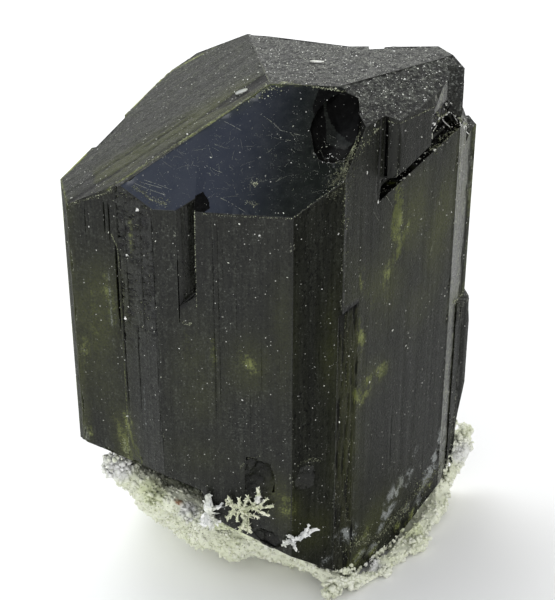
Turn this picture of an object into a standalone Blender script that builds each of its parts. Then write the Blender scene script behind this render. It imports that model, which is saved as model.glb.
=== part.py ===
"""Epidote crystal cluster: one stout dark crystal grown up out of a pale granular crust.

Lengths are in millimetres and become metres through MM. While the pieces are made, the plan origin
is the front upper corner of the crystal, +Y runs to the back and height 0 is the ground. The last
step moves everything so that the origin is the bottom centre of the whole.
"""

import math
import random

import bmesh
import bpy
from mathutils import Matrix, Vector

MM = 0.001

# Plan of the prism zone, anticlockwise from the left edge. Each side is one prism face.
FACE_LEFT_EDGE = (-18.8, 4.6)
BEVEL_FOOT = (-14.7, 4.03)
BEVEL_TOP = (-11.4, 1.6)
FRONT_CORNER = (0.0, 0.0)
MIDDLE_CORNER = (4.3, 2.4)
RIGHT_CORNER = (15.05, 15.2)
STRIP_CORNER = (16.45, 18.3)
OUTER_CORNER = (17.0, 18.8)
BACK_RIGHT = (16.4, 19.9)
BACK_STEP = (5.2, 20.1)
BACK_MIDDLE = (-3.6, 23.8)
BACK_LEFT = (-8.8, 24.9)
BACK_LEFT_BEVEL = (-11.5, 23.5)
LEFT_BACK_EDGE = (-20.1, 10.2)
PRISM_BOTTOM = -8.0
PRISM_TOP = 60.0

# Terminal faces: height at a plan point, dip and the compass direction they fall to.
FRONT_TOP_HEIGHT = 40.7
FRONT_FACE_DIRECTION = -8.0
BLUE_DIP = 37.0
LEFT_ROOF_POINT = (-1.87, 10.43, 48.3)
LEFT_ROOF_DIP = 25.5
LEFT_ROOF_FALL = -169.5
ROOF_HEIGHT = 48.2
PEBBLED_POINT = (4.47, 9.42, 48.2)
PEBBLED_DIP = 15.5
PEBBLED_FALL = -55.7
ROUNDED_END = ((11.9, 9.6, 45.95), (12.95, 12.1, 47.6), (10.2, 7.6, 46.9))
BLOCK_WALL = ((4.47, 9.42, 48.2), (5.95, 4.35, 46.8), (4.3, 2.38, 43.2))

# The raised block on the right face, and the slot under it.
RAISED_BLOCK_PLAN = ((7.3, 7.0), (7.6, 6.33), (8.75, 5.95), (12.05, 9.95), (13.45, 13.3), (12.5, 14.0))
SLOT_START = (7.1, 5.74, 40.3)
SLOT_END = (14.4, 14.43, 43.0)
SLOT_HEIGHT = 1.8
SLOT_DEPTH = 1.3
BLOCK_FOOT_END = (14.4, 14.43, 43.7)

# The broken end of the slot, below the block's right end.
BREAK_PLAN = ((11.85, 9.6), (11.55, 11.7), (13.1, 13.7), (14.2, 14.3), (16.5, 12.0), (13.6, 8.0))
BREAK_FLOOR = (12.2, 11.9, 41.7)
BREAK_TOP = 45.8

# The stepped shoulder at the upper right.
SHOULDER_HEIGHT = 44.0
SHOULDER_SLOPE = 38.0
PLATE_TOPS = ((15.35, 15.6, 42.9), (16.45, 18.3, 41.2), (17.0, 18.8, 41.6))

# Notch, crack and hole in the front face.
NOTCH_LEFT = -9.43
NOTCH_RIGHT = -8.0
NOTCH_DEPTH = 1.05
NOTCH_FLOOR = 32.0
CRACK_BOTTOM = 30.4
HOLE_CENTRE = (-7.55, 1.75, 42.1)
PIT_CENTRE = (3.6, 6.2, 46.1)
PIT_RADIUS = 2.3

# Broken lower end: a high gentle break on the left, a steep step, then a break down to the front tip.
LEFT_UNDERSIDE = ((-18.9, 4.6, 16.3), (-8.1, 1.14, 13.3), (-20.1, 10.2, 13.0))
UNDERSIDE_STEP = ((-8.1, 1.14, 13.3), (-6.7, 0.9, 10.0), (-9.6, 9.0, 10.4))
FRONT_UNDERSIDE = ((-6.7, 0.9, 10.0), (4.3, 2.4, 3.0), (-2.0, 10.0, 2.6))
BACK_UNDERSIDE = ((-8.8, 24.9, 8.0), (5.2, 20.1, 5.6), (0.0, 13.5, 0.8))
RIGHT_UNDERSIDE = ((16.1, 16.5, 4.4), (10.4, 9.7, 0.8), (9.7, 10.3, -1.2))
FOOT_HEIGHT = 0.8

# Crust.
GAP = 0.3
CRUST_VOXEL = 0.42
CRUST_FACES = 6000
SPRAY_SEED = 11


def clear_scene():
    for obj in list(bpy.data.objects):
        bpy.data.objects.remove(obj, do_unlink=True)


def add_object(name, bm):
    mesh = bpy.data.meshes.new(name)
    bmesh.ops.recalc_face_normals(bm, faces=bm.faces)
    bm.to_mesh(mesh)
    bm.free()
    obj = bpy.data.objects.new(name, mesh)
    bpy.context.scene.collection.objects.link(obj)
    return obj


def helper(obj):
    """Marks a cutter or other shape that isn't part of the object."""
    obj.hide_render = True
    obj.display_type = "WIRE"
    return obj


def make_material(name, colour, roughness, ior=1.5):
    mat = bpy.data.materials.new(name)
    mat.use_nodes = True
    shader = mat.node_tree.nodes["Principled BSDF"]
    shader.inputs["Base Color"].default_value = (*colour, 1.0)
    shader.inputs["Roughness"].default_value = roughness
    shader.inputs["IOR"].default_value = ior
    return mat


def prism(plan, bottom, top):
    """A column over a plan polygon, as a bmesh in metres."""
    bm = bmesh.new()
    floor = [bm.verts.new(Vector((x, y, bottom)) * MM) for x, y in plan]
    face = bm.faces.new(floor)
    rising = bmesh.ops.extrude_face_region(bm, geom=[face])["geom"]
    verts = [item for item in rising if isinstance(item, bmesh.types.BMVert)]
    bmesh.ops.translate(bm, verts=verts, vec=(0, 0, (top - bottom) * MM))
    bmesh.ops.recalc_face_normals(bm, faces=bm.faces)
    return bm


def cut(bm, point, normal):
    """Takes away what lies on the normal's side of the plane and closes the cut."""
    found = bmesh.ops.bisect_plane(
        bm,
        geom=bm.verts[:] + bm.edges[:] + bm.faces[:],
        dist=1e-7,
        plane_co=Vector(point) * MM,
        plane_no=normal,
        clear_outer=True,
    )
    rim = [item for item in found["geom_cut"] if isinstance(item, bmesh.types.BMEdge)]
    if rim:
        bmesh.ops.holes_fill(bm, edges=rim, sides=0)


def dipping(dip, fall):
    """Upward normal of a face that dips by an angle towards a compass direction."""
    tilt = math.radians(dip)
    turn = math.radians(fall)
    return Vector((math.sin(tilt) * math.cos(turn), math.sin(tilt) * math.sin(turn), math.cos(tilt)))


def through(points, upward):
    """Normal of the plane through three points, turned up or down."""
    first, second, third = (Vector(p) for p in points)
    normal = (second - first).cross(third - first).normalized()
    if (normal.z > 0) != upward:
        normal = -normal
    return normal


def grown_outline(plan, distance):
    """The plan with every side moved outward by a distance."""
    count = len(plan)
    moved = []
    for i in range(count):
        before = Vector(plan[i - 1])
        here = Vector(plan[i])
        after = Vector(plan[(i + 1) % count])
        first = (here - before).normalized()
        second = (after - here).normalized()
        out_first = Vector((first.y, -first.x))
        out_second = Vector((second.y, -second.x))
        middle = (out_first + out_second).normalized()
        moved.append(tuple(here + middle * (distance / middle.dot(out_first))))
    return moved


def boolean(target, other, operation):
    """Applies a Boolean for good and removes the other object."""
    modifier = target.modifiers.new("shape", "BOOLEAN")
    modifier.operation = operation
    modifier.solver = "EXACT"
    modifier.object = other
    graph = bpy.context.evaluated_depsgraph_get()
    mesh = bpy.data.meshes.new_from_object(target.evaluated_get(graph))
    target.modifiers.clear()
    old = target.data
    target.data = mesh
    mesh.name = target.name
    bpy.data.meshes.remove(old)
    bpy.data.objects.remove(other, do_unlink=True)


def prism_plan():
    return [
        FACE_LEFT_EDGE, BEVEL_FOOT, BEVEL_TOP, FRONT_CORNER, MIDDLE_CORNER, RIGHT_CORNER,
        STRIP_CORNER, OUTER_CORNER, BACK_RIGHT, BACK_STEP, BACK_MIDDLE, BACK_LEFT,
        BACK_LEFT_BEVEL, LEFT_BACK_EDGE,
    ]


def lower_body(grow):
    """The prism with its broken lower end. The break falls gently on the left, then steeply to the front tip."""
    bm = prism(grown_outline(prism_plan(), grow), PRISM_BOTTOM, PRISM_TOP)
    for points in (RIGHT_UNDERSIDE, BACK_UNDERSIDE):
        below = through(points, upward=False)
        cut(bm, Vector(points[0]) + below * grow, below)
    cut(bm, (0, 0, FOOT_HEIGHT - grow), (0, 0, -1))
    body = add_object("epidote_crystal", bm)
    for name, planes in (("left_wedge", (LEFT_UNDERSIDE, UNDERSIDE_STEP)), ("front_wedge", (FRONT_UNDERSIDE,))):
        wedge = bmesh.new()
        bmesh.ops.create_cube(wedge, size=100 * MM)
        for points in planes:
            below = through(points, upward=False)
            cut(wedge, Vector(points[0]) + below * grow, -below)
        if name == "front_wedge":
            cut(wedge, (-13.0, 0, 0), (-1, 0, 0))
        boolean(body, helper(add_object(name, wedge)), "DIFFERENCE")
    return body


def right_face_axes():
    """Unit vectors along the right face and out of it, in plan."""
    along = (Vector(RIGHT_CORNER) - Vector(MIDDLE_CORNER)).normalized()
    outward = Vector((along.y, -along.x))
    return along, outward


def front_face_axes():
    turn = math.radians(FRONT_FACE_DIRECTION)
    along = Vector((math.cos(turn), math.sin(turn)))
    return along, Vector((along.y, -along.x))


def blue_normal():
    along, outward = front_face_axes()
    tilt = math.radians(BLUE_DIP)
    return Vector((outward.x * math.sin(tilt), outward.y * math.sin(tilt), math.cos(tilt)))


def raised_block():
    """The block that stands out of the right face above the slot."""
    bm = prism(RAISED_BLOCK_PLAN, SLOT_START[2] - 4.0, PRISM_TOP)
    rise = Vector(BLOCK_FOOT_END) - Vector(SLOT_START)
    along, outward = right_face_axes()
    normal = rise.cross(Vector((outward.x, outward.y, 0.0))).normalized()
    if normal.z > 0:
        normal = -normal
    cut(bm, Vector(SLOT_START) + Vector((0, 0, 0.5 * SLOT_HEIGHT)), normal)
    return add_object("raised_block", bm)


def blue_wedge():
    """What is missing above the dark blue terminal face, left of the block's broken wall."""
    bm = bmesh.new()
    bmesh.ops.create_cube(bm, size=80 * MM, matrix=Matrix.Translation(Vector((-20, 0, 60)) * MM))
    cut(bm, (0, 0, FRONT_TOP_HEIGHT), -blue_normal())
    wall = through(BLOCK_WALL, upward=True)
    cut(bm, BLOCK_WALL[0], -wall)
    return helper(add_object("blue_wedge", bm))


def slot_cutter():
    """The long slot that runs up under the raised block."""
    start = Vector(SLOT_START)
    end = Vector(SLOT_END)
    along, outward = right_face_axes()
    out = Vector((outward.x, outward.y, 0.0))
    rise = (end - start).normalized()
    up = out.cross(rise).normalized()
    if up.z < 0:
        up = -up
    half = 0.5 * SLOT_HEIGHT
    profile = (
        start - out * SLOT_DEPTH + rise * 0.8,
        start + out * 2.2 + rise * 0.8,
    )
    bm = bmesh.new()
    ring = []
    for base in profile:
        lower = base - up * half - rise * 0.7
        upper = base + up * half
        far_upper = upper + rise * ((end - start).length - 0.4) + up * 0.6
        far_lower = base - up * half * 0.6 + rise * ((end - start).length + 0.6)
        ring.append([bm.verts.new(p * MM) for p in (lower, upper, far_upper, far_lower)])
    inner, outer = ring
    bm.faces.new(inner)
    bm.faces.new(list(reversed(outer)))
    for i in range(4):
        j = (i + 1) % 4
        bm.faces.new((inner[j], inner[i], outer[i], outer[j]))
    return helper(add_object("slot_cutter", bm))


def slot_break():
    """The end of the slot, where the lower right corner of the block has broken away."""
    bm = prism(BREAK_PLAN, 30, BREAK_TOP)
    rise = (Vector(SLOT_END) - Vector(SLOT_START)).normalized()
    along, outward = right_face_axes()
    below = rise.cross(Vector((outward.x, outward.y, 0.0))).normalized()
    if below.z > 0:
        below = -below
    cut(bm, BREAK_FLOOR, below)
    return helper(add_object("slot_break", bm))


def shoulder_cutters():
    """Takes the upper right corner down to the small face and the ledges below it."""
    recess = prism(((13.5, 12.0), (13.62, 15.62), (15.35, 15.36), (18.0, 15.0), (18.0, 9.0), (15.0, 9.0)), 30, PRISM_TOP)
    slope = math.radians(SHOULDER_SLOPE)
    cut(recess, (13.8, 15.6, SHOULDER_HEIGHT), Vector((0, math.sin(slope), -math.cos(slope))))
    side = prism(((15.32, 15.2), (13.1, 20.3), (20.0, 24.0), (20.0, 14.0)), 30, PRISM_TOP)
    cut(side, PLATE_TOPS[0], Vector((-0.35, 0.0, -1.0)).normalized())
    step = prism(((15.9, 14.0), (15.8, 21.5), (20.0, 24.0), (20.0, 14.0)), 30, PRISM_TOP)
    cut(step, PLATE_TOPS[1], Vector((0.1, 0.5, -1.0)).normalized())
    edge = prism(((16.6, 14.0), (16.55, 21.5), (20.0, 24.0), (20.0, 14.0)), 30, PRISM_TOP)
    cut(edge, PLATE_TOPS[2], Vector((-0.5, 0.0, -1.0)).normalized())
    cutters = (("recess", recess), ("side_step", side), ("inner_step", step), ("outer_step", edge))
    return [helper(add_object(name, bm)) for name, bm in cutters]


def lower_plate(grow):
    """The outer plate on the right edge that starts below half height."""
    plan = ((16.1, 17.2), (16.75, 18.1), (17.65, 18.95), (17.2, 20.2), (15.8, 19.6))
    bm = prism(grown_outline(plan, grow), 3.0 - grow, 24.5)
    cut(bm, (17.6, 18.9, 23.4), Vector((0.4, -0.2, 1.0)).normalized())
    below = Vector((0.95, -0.2, -0.12)).normalized()
    cut(bm, Vector((17.05, 18.9, 9.3)) + below * grow, below)
    return add_object("lower_plate", bm)


def notch_cutters():
    """The upright notch in the front face, with its crack below and the hole at its top."""
    along, outward = front_face_axes()

    def on_face(x, depth):
        return (x - outward.x * depth, x * along.y / along.x - outward.y * depth)

    plan = (on_face(NOTCH_LEFT - 0.35, -0.21), on_face(NOTCH_RIGHT, -0.6), on_face(NOTCH_RIGHT, NOTCH_DEPTH))
    notch = prism(plan, 20, PRISM_TOP)
    cut(notch, (NOTCH_LEFT, 1.3, NOTCH_FLOOR), Vector((0.58, 0.0, -0.81)))
    left = NOTCH_LEFT - 0.16
    crack = prism((on_face(left, -0.5), on_face(left + 0.17, -0.5), on_face(left + 0.12, 0.5)), CRACK_BOTTOM, 36.0)
    hole = bmesh.new()
    place = Matrix.Translation(Vector(HOLE_CENTRE) * MM) @ Matrix.Rotation(math.radians(-28), 4, "X")
    place = place @ Matrix.Rotation(math.radians(18), 4, "Z")
    bmesh.ops.create_cone(
        hole, cap_ends=True, segments=5, radius1=0.4 * MM, radius2=0.85 * MM, depth=2.2 * MM, matrix=place
    )
    shapes = (("notch_cutter", notch), ("crack_cutter", crack), ("hole_cutter", hole))
    return [helper(add_object(name, bm)) for name, bm in shapes]


def pit_cutter():
    """The shell-shaped break beside the raised corner of the roof."""
    rng = random.Random(5)
    bm = bmesh.new()
    bmesh.ops.create_icosphere(bm, subdivisions=2, radius=PIT_RADIUS * MM)
    for vert in bm.verts:
        vert.co *= rng.uniform(0.93, 1.05)
    tilt = Matrix.Rotation(math.radians(BLUE_DIP), 4, "X")
    bmesh.ops.scale(bm, vec=(1.0, 1.55, 0.75), verts=bm.verts)
    place = Matrix.Translation(Vector(PIT_CENTRE) * MM) @ tilt @ Matrix.Rotation(math.radians(-10), 4, "Z")
    bmesh.ops.transform(bm, matrix=place, verts=bm.verts)
    return helper(add_object("pit_cutter", bm))


def chip_cutters():
    """Chips along the lower front: a flat-topped chip, a shell-shaped one and a broken corner."""
    chips = []
    specs = (
        ("front_chip", (-3.0, 0.2, 15.2), (1.55, 0.8, 1.9), 7, 12.0),
        ("middle_chip", (1.5, 0.55, 15.0), (1.35, 0.75, 1.2), 8, 0.0),
        ("lower_chip", (-2.2, 0.0, 8.6), (1.7, 0.9, 0.8), 6, 20.0),
        ("left_chip", (-13.6, 2.0, 15.4), (0.8, 1.3, 0.9), 6, 20.0),
    )
    for number, (name, centre, size, segments, turn) in enumerate(specs):
        rng = random.Random(number)
        bm = bmesh.new()
        bmesh.ops.create_uvsphere(bm, u_segments=segments, v_segments=4, radius=MM)
        for vert in bm.verts:
            vert.co *= rng.uniform(0.82, 1.1)
        bmesh.ops.scale(bm, vec=size, verts=bm.verts)
        place = Matrix.Translation(Vector(centre) * MM) @ Matrix.Rotation(math.radians(turn), 4, "Y")
        bmesh.ops.transform(bm, matrix=place, verts=bm.verts)
        chips.append(helper(add_object(name, bm)))
    return chips


def corner_bevel():
    """The narrow bevel on the corner between the middle and right faces, low down."""
    bm = prism(((3.6, 1.83), (5.6, 2.2), (6.2, 4.6)), -10, 30.5)
    return helper(add_object("corner_bevel", bm))


def growth_steps():
    """Shallow steps in the back and left back faces, where layers of the crystal stop short."""
    strips = (
        (LEFT_BACK_EDGE, BACK_LEFT_BEVEL, 0.28, 0.58, 0.5, -3.0, 80.0),
        (LEFT_BACK_EDGE, BACK_LEFT_BEVEL, 0.66, 0.78, 0.9, -3.0, 33.0),
        (BACK_LEFT, BACK_MIDDLE, 0.35, 0.80, 0.4, -3.0, 38.5),
        (BACK_MIDDLE, BACK_STEP, 0.45, 0.70, 0.7, -3.0, 36.0),
        (BACK_STEP, BACK_RIGHT, 0.16, 0.28, 0.8, 12.0, 80.0),
        (BACK_STEP, BACK_RIGHT, 0.36, 0.62, 0.35, -3.0, 29.0),
    )
    cutters = []
    for number, (start, end, first, last, depth, bottom, top) in enumerate(strips):
        start = Vector(start)
        side = Vector(end) - start
        out = Vector((side.y, -side.x)).normalized()
        if out.dot(start - Vector((-1.0, 12.0))) < 0:
            out = -out
        near = start + side * first
        far = start + side * last
        plan = [tuple(p) for p in (near - out * depth, far - out * depth * 0.8, far + out * 3, near + out * 3)]
        bm = prism(plan, bottom, top)
        if top < PRISM_TOP:
            cut(bm, (near.x, near.y, top - 0.6), Vector((0.2, 0.25, 1.0)).normalized())
        cutters.append(helper(add_object(f"growth_step_{number}", bm)))
    return cutters


def make_crystal():
    crystal = lower_body(0.0)
    boolean(crystal, raised_block(), "UNION")
    bm = bmesh.new()
    bm.from_mesh(crystal.data)
    cut(bm, LEFT_ROOF_POINT, dipping(LEFT_ROOF_DIP, LEFT_ROOF_FALL))
    cut(bm, (0, 0, ROOF_HEIGHT), dipping(0.8, -120))
    cut(bm, PEBBLED_POINT, dipping(PEBBLED_DIP, PEBBLED_FALL))
    cut(bm, ROUNDED_END[0], through(ROUNDED_END, upward=True))
    bm.to_mesh(crystal.data)
    bm.free()
    boolean(crystal, blue_wedge(), "DIFFERENCE")
    boolean(crystal, pit_cutter(), "DIFFERENCE")
    boolean(crystal, slot_cutter(), "DIFFERENCE")
    boolean(crystal, slot_break(), "DIFFERENCE")
    for cutter in shoulder_cutters():
        boolean(crystal, cutter, "DIFFERENCE")
    boolean(crystal, lower_plate(0.0), "UNION")
    for cutter in notch_cutters():
        boolean(crystal, cutter, "DIFFERENCE")
    boolean(crystal, corner_bevel(), "DIFFERENCE")
    for cutter in chip_cutters() + growth_steps():
        boolean(crystal, cutter, "DIFFERENCE")
    return crystal


def lump(bm, centre, radii, rng):
    start = len(bm.verts)
    bmesh.ops.create_icosphere(bm, subdivisions=3, radius=MM)
    bm.verts.ensure_lookup_table()
    added = bm.verts[start:]
    bmesh.ops.scale(bm, vec=radii, verts=added)
    turn = Matrix.Rotation(rng.uniform(-0.5, 0.5), 4, "Z")
    bmesh.ops.transform(bm, matrix=Matrix.Translation(Vector(centre) * MM) @ turn, verts=added)


def lump_row(bm, start, end, count, first, last, rng):
    """Lumps along a line, their radius running from first to last with some scatter."""
    for i in range(count):
        part = i / (count - 1)
        centre = Vector(start).lerp(Vector(end), part)
        centre += Vector([rng.uniform(-0.35, 0.35) for _ in range(3)])
        radius = (first + (last - first) * part) * rng.uniform(0.85, 1.15)
        lump(bm, centre, (radius, radius * rng.uniform(0.8, 1.1), radius * rng.uniform(0.8, 1.0)), rng)


def keep_largest(obj):
    """Drops the loose fragments that a cut left."""
    bm = bmesh.new()
    bm.from_mesh(obj.data)
    left = set(bm.verts)
    islands = []
    while left:
        seed = left.pop()
        island = {seed}
        stack = [seed]
        while stack:
            for edge in stack.pop().link_edges:
                for vert in edge.verts:
                    if vert not in island:
                        island.add(vert)
                        stack.append(vert)
        left -= island
        islands.append(island)
    islands.sort(key=lambda island: (-len(island), min(vert.index for vert in island)))
    small = [vert for island in islands[1:] for vert in island]
    bmesh.ops.delete(bm, geom=small, context="VERTS")
    bm.to_mesh(obj.data)
    bm.free()


def fixed(obj):
    """Replaces the mesh by what its modifiers make of it."""
    graph = bpy.context.evaluated_depsgraph_get()
    mesh = bpy.data.meshes.new_from_object(obj.evaluated_get(graph))
    obj.modifiers.clear()
    obj.data = mesh
    mesh.name = obj.name


def crust_lumps():
    rng = random.Random(3)
    bm = bmesh.new()
    for centre, radii in (
        ((-6.0, 14.0, 3.5), (5.5, 5.5, 5.5)),
        ((-10.0, 17.5, 5.0), (5.5, 4.5, 6.5)),
        ((1.5, 12.5, 1.5), (7.5, 6.5, 3.6)),
        ((8.5, 14.5, 1.2), (6.0, 5.5, 3.2)),
        ((0.0, 18.0, 2.0), (9.0, 3.6, 3.4)),
        ((12.5, 17.8, 1.6), (3.6, 3.0, 3.2)),
    ):
        lump(bm, centre, radii, rng)
    lump_row(bm, (-16.3, 5.3, 13.3), (-13.2, 7.3, 8.6), 5, 1.1, 1.9, rng)
    lump_row(bm, (-13.2, 7.6, 8.4), (-9.6, 9.0, 4.4), 5, 2.0, 2.5, rng)
    lump_row(bm, (-8.3, 7.6, 3.9), (1.8, 5.9, 3.3), 8, 2.1, 2.0, rng)
    lump_row(bm, (-11.0, 5.2, 9.4), (0.6, 3.4, 5.6), 8, 1.5, 1.4, rng)
    lump_row(bm, (-15.0, 14.0, 8.5), (-9.0, 11.0, 5.0), 4, 2.6, 3.2, rng)
    lump_row(bm, (3.6, 3.2, 1.7), (6.8, 4.7, 1.1), 5, 1.2, 1.15, rng)
    lump_row(bm, (7.6, 5.2, 0.9), (12.6, 10.2, 0.9), 7, 1.05, 1.2, rng)
    lump_row(bm, (13.2, 11.4, 1.1), (15.7, 16.4, 1.7), 6, 1.25, 1.25, rng)
    lump_row(bm, (15.8, 18.2, 2.0), (17.9, 20.3, 5.8), 4, 1.5, 1.2, rng)
    lump_row(bm, (17.7, 20.2, 6.0), (18.6, 20.9, 7.2), 2, 1.0, 0.8, rng)
    lump_row(bm, (14.6, 18.6, 2.2), (5.0, 19.4, 2.6), 6, 1.9, 2.6, rng)
    lump_row(bm, (3.5, 20.0, 3.0), (-8.6, 22.4, 3.8), 6, 2.7, 3.2, rng)
    lump_row(bm, (-9.6, 22.6, 4.4), (-14.6, 16.6, 6.0), 4, 2.7, 2.5, rng)
    return add_object("matrix_crust", bm)


def make_crust():
    crust = crust_lumps()
    blend = crust.modifiers.new("blend", "REMESH")
    blend.mode = "VOXEL"
    blend.voxel_size = CRUST_VOXEL * MM
    grain = bpy.data.textures.new("crust_grain", "CLOUDS")
    grain.noise_scale = 1.1 * MM
    rough = crust.modifiers.new("grain", "DISPLACE")
    rough.texture = grain
    rough.texture_coords = "LOCAL"
    rough.strength = 0.9 * MM
    rough.mid_level = 0.5
    fixed(crust)
    again = crust.modifiers.new("again", "REMESH")
    again.mode = "VOXEL"
    again.voxel_size = CRUST_VOXEL * MM
    fixed(crust)
    thin = crust.modifiers.new("thin", "DECIMATE")
    thin.ratio = CRUST_FACES / (2.0 * len(crust.data.polygons))
    fixed(crust)
    below = bmesh.new()
    bmesh.ops.create_cube(below, size=80 * MM, matrix=Matrix.Translation((0, 0, -40 * MM)))
    boolean(crust, helper(add_object("ground_cutter", below)), "DIFFERENCE")
    boolean(crust, helper(lower_body(GAP)), "DIFFERENCE")
    boolean(crust, helper(lower_plate(GAP)), "DIFFERENCE")
    keep_largest(crust)
    return crust


def needle(centre, direction, length, radius, sides, turn):
    """A small crystal: a column with a pointed end."""
    bm = bmesh.new()
    bmesh.ops.create_cone(
        bm, cap_ends=True, segments=sides, radius1=radius * MM, radius2=radius * 0.85 * MM, depth=length * MM
    )
    top = max(bm.faces, key=lambda face: face.calc_center_median().z)
    tip = bmesh.ops.poke(bm, faces=[top])["verts"]
    bmesh.ops.translate(bm, verts=tip, vec=(0, 0, radius * 0.9 * MM))
    aim = Vector(direction).normalized().to_track_quat("Z", "Y").to_matrix().to_4x4()
    place = Matrix.Translation((Vector(centre) + Vector(direction).normalized() * length * 0.45) * MM)
    bmesh.ops.transform(bm, matrix=place @ aim @ Matrix.Rotation(turn, 4, "Z"), verts=bm.verts)
    return bm


def make_spray(name, centres, count, length, radius, rng):
    """A spray of small crystals that share one root."""
    root = bmesh.new()
    bmesh.ops.create_icosphere(root, subdivisions=2, radius=radius * 1.5 * MM)
    bmesh.ops.translate(root, verts=root.verts, vec=Vector(centres[0]) * MM)
    spray = add_object(name, root)
    for centre in centres[1:]:
        part = bmesh.new()
        bmesh.ops.create_icosphere(part, subdivisions=2, radius=radius * 1.6 * MM)
        bmesh.ops.translate(part, verts=part.verts, vec=Vector(centre) * MM)
        boolean(spray, add_object("root", part), "UNION")
    for i in range(count):
        centre = centres[i % len(centres)]
        turn = rng.uniform(0, math.tau)
        rise = rng.uniform(-0.5, 1.0)
        direction = (math.cos(turn), -0.35 + 0.5 * math.sin(turn), rise)
        size = radius * rng.uniform(0.7, 1.15)
        column = needle(centre, direction, length * rng.uniform(0.7, 1.2), size, 6, rng.uniform(0, 1))
        boolean(spray, add_object("column", column), "UNION")
    return spray


def make_sprays():
    rng = random.Random(SPRAY_SEED)
    left = ((-7.7, 0.85, 11.5), (-7.1, 0.8, 10.5), (-7.2, 0.65, 12.5))
    cream = ((-5.0, 0.35, 11.6), (-3.9, 0.2, 12.5), (-3.1, 0.05, 13.4), (-4.3, 0.25, 10.7))
    right = ((0.9, 0.15, 8.6), (1.9, 0.7, 9.1), (0.2, -0.25, 8.3))
    return [
        make_spray("white_spray_left", left, 14, 1.0, 0.38, rng),
        make_spray("cream_spray", cream, 24, 1.3, 0.26, rng),
        make_spray("white_spray_right", right, 14, 0.9, 0.3, rng),
    ]


def clear_of(target, others, grow):
    """Cuts a pocket for each other piece out of the target."""
    for other in others:
        bm = bmesh.new()
        bm.from_mesh(other.data)
        hull = bmesh.ops.convex_hull(bm, input=bm.verts)
        spare = [item for item in hull["geom_interior"] if isinstance(item, bmesh.types.BMVert)]
        bmesh.ops.delete(bm, geom=spare, context="VERTS")
        bmesh.ops.delete(bm, geom=[f for f in bm.faces if f not in set(hull["geom"])], context="FACES_ONLY")
        centre = sum((vert.co for vert in bm.verts), Vector()) / len(bm.verts)
        for vert in bm.verts:
            away = vert.co - centre
            vert.co = centre + away * (1 + grow * MM / away.length)
        boolean(target, helper(add_object("pocket", bm)), "DIFFERENCE")
    keep_largest(target)


def paint(obj, mat):
    obj.data.materials.clear()
    obj.data.materials.append(mat)


def centre_on_ground(objects):
    """Puts the origin at the bottom centre of the whole."""
    corners = [vert.co for obj in objects for vert in obj.data.vertices]
    low = Vector([min(co[axis] for co in corners) for axis in range(3)])
    high = Vector([max(co[axis] for co in corners) for axis in range(3)])
    shift = Vector(((low.x + high.x) / 2, (low.y + high.y) / 2, low.z))
    for obj in objects:
        obj.data.transform(Matrix.Translation(-shift))
    size = (high - low) / MM
    print("size", [round(side, 2) for side in size], "shift", [round(s / MM, 3) for s in shift])


def main():
    clear_scene()
    crystal = make_crystal()
    crust = make_crust()
    sprays = make_sprays()
    for spray in sprays:
        boolean(spray, helper(lower_body(GAP)), "DIFFERENCE")
        keep_largest(spray)
    clear_of(crust, sprays, 0.45)
    paint(crystal, make_material("epidote", (0.035, 0.038, 0.03), 0.22, 1.75))
    paint(crust, make_material("crust", (0.62, 0.63, 0.52), 0.8))
    paint(sprays[0], make_material("white_crystal", (0.75, 0.75, 0.74), 0.45))
    paint(sprays[1], make_material("cream_crystal", (0.74, 0.72, 0.58), 0.45))
    paint(sprays[2], make_material("white_crystal_right", (0.75, 0.76, 0.72), 0.45))
    centre_on_ground([crystal, crust, *sprays])


main()
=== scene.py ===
# %% [markdown]
# # An epidote crystal on its crust
#
# Epidote grows as stout prisms that look black and turn olive where light gets through. This one ends
# in a few large sloping faces, its upright faces carry fine grooves, and its broken foot sits in a
# pale crust of tiny crystals. The solids of the frame give every main form. This script copies them
# and adds what is too small for them: grooves, grain, chips, dust and the finish of each face.

import itertools
import math
import random

import bmesh
import bpy
import numpy as np
from mathutils import Matrix, Vector, kdtree
from mathutils.bvhtree import BVHTree


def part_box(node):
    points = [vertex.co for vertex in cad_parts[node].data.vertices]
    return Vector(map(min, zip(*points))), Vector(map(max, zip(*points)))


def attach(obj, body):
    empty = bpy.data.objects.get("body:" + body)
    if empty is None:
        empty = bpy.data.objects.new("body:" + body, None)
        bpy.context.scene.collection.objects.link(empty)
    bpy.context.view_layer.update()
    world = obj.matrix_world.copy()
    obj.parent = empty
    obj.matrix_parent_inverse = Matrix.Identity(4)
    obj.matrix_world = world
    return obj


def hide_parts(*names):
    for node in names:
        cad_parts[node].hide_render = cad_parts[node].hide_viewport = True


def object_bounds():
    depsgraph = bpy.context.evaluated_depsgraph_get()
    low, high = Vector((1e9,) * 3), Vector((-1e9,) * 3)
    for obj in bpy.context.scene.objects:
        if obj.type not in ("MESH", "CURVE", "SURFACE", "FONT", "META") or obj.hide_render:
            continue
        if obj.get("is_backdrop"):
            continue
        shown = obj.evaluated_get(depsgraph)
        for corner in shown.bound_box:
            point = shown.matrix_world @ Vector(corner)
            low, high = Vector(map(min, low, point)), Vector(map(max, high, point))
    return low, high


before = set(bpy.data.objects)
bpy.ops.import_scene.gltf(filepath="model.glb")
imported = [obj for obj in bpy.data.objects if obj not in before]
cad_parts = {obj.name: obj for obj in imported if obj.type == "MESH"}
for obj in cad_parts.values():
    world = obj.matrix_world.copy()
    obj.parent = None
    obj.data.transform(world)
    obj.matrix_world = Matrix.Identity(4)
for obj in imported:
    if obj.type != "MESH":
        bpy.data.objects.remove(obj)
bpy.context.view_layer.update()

# %% [markdown]
# ## Working in the crystal's own millimetres
#
# The crystal was drawn in plan from its front upper corner, with +Y to the back. It is easier to name a
# place by that drawing than by the frame's metres, so every piece is made in the drawing and moved into
# the frame once, at the end. Two corners of the crystal's box tie the two together.

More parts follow.
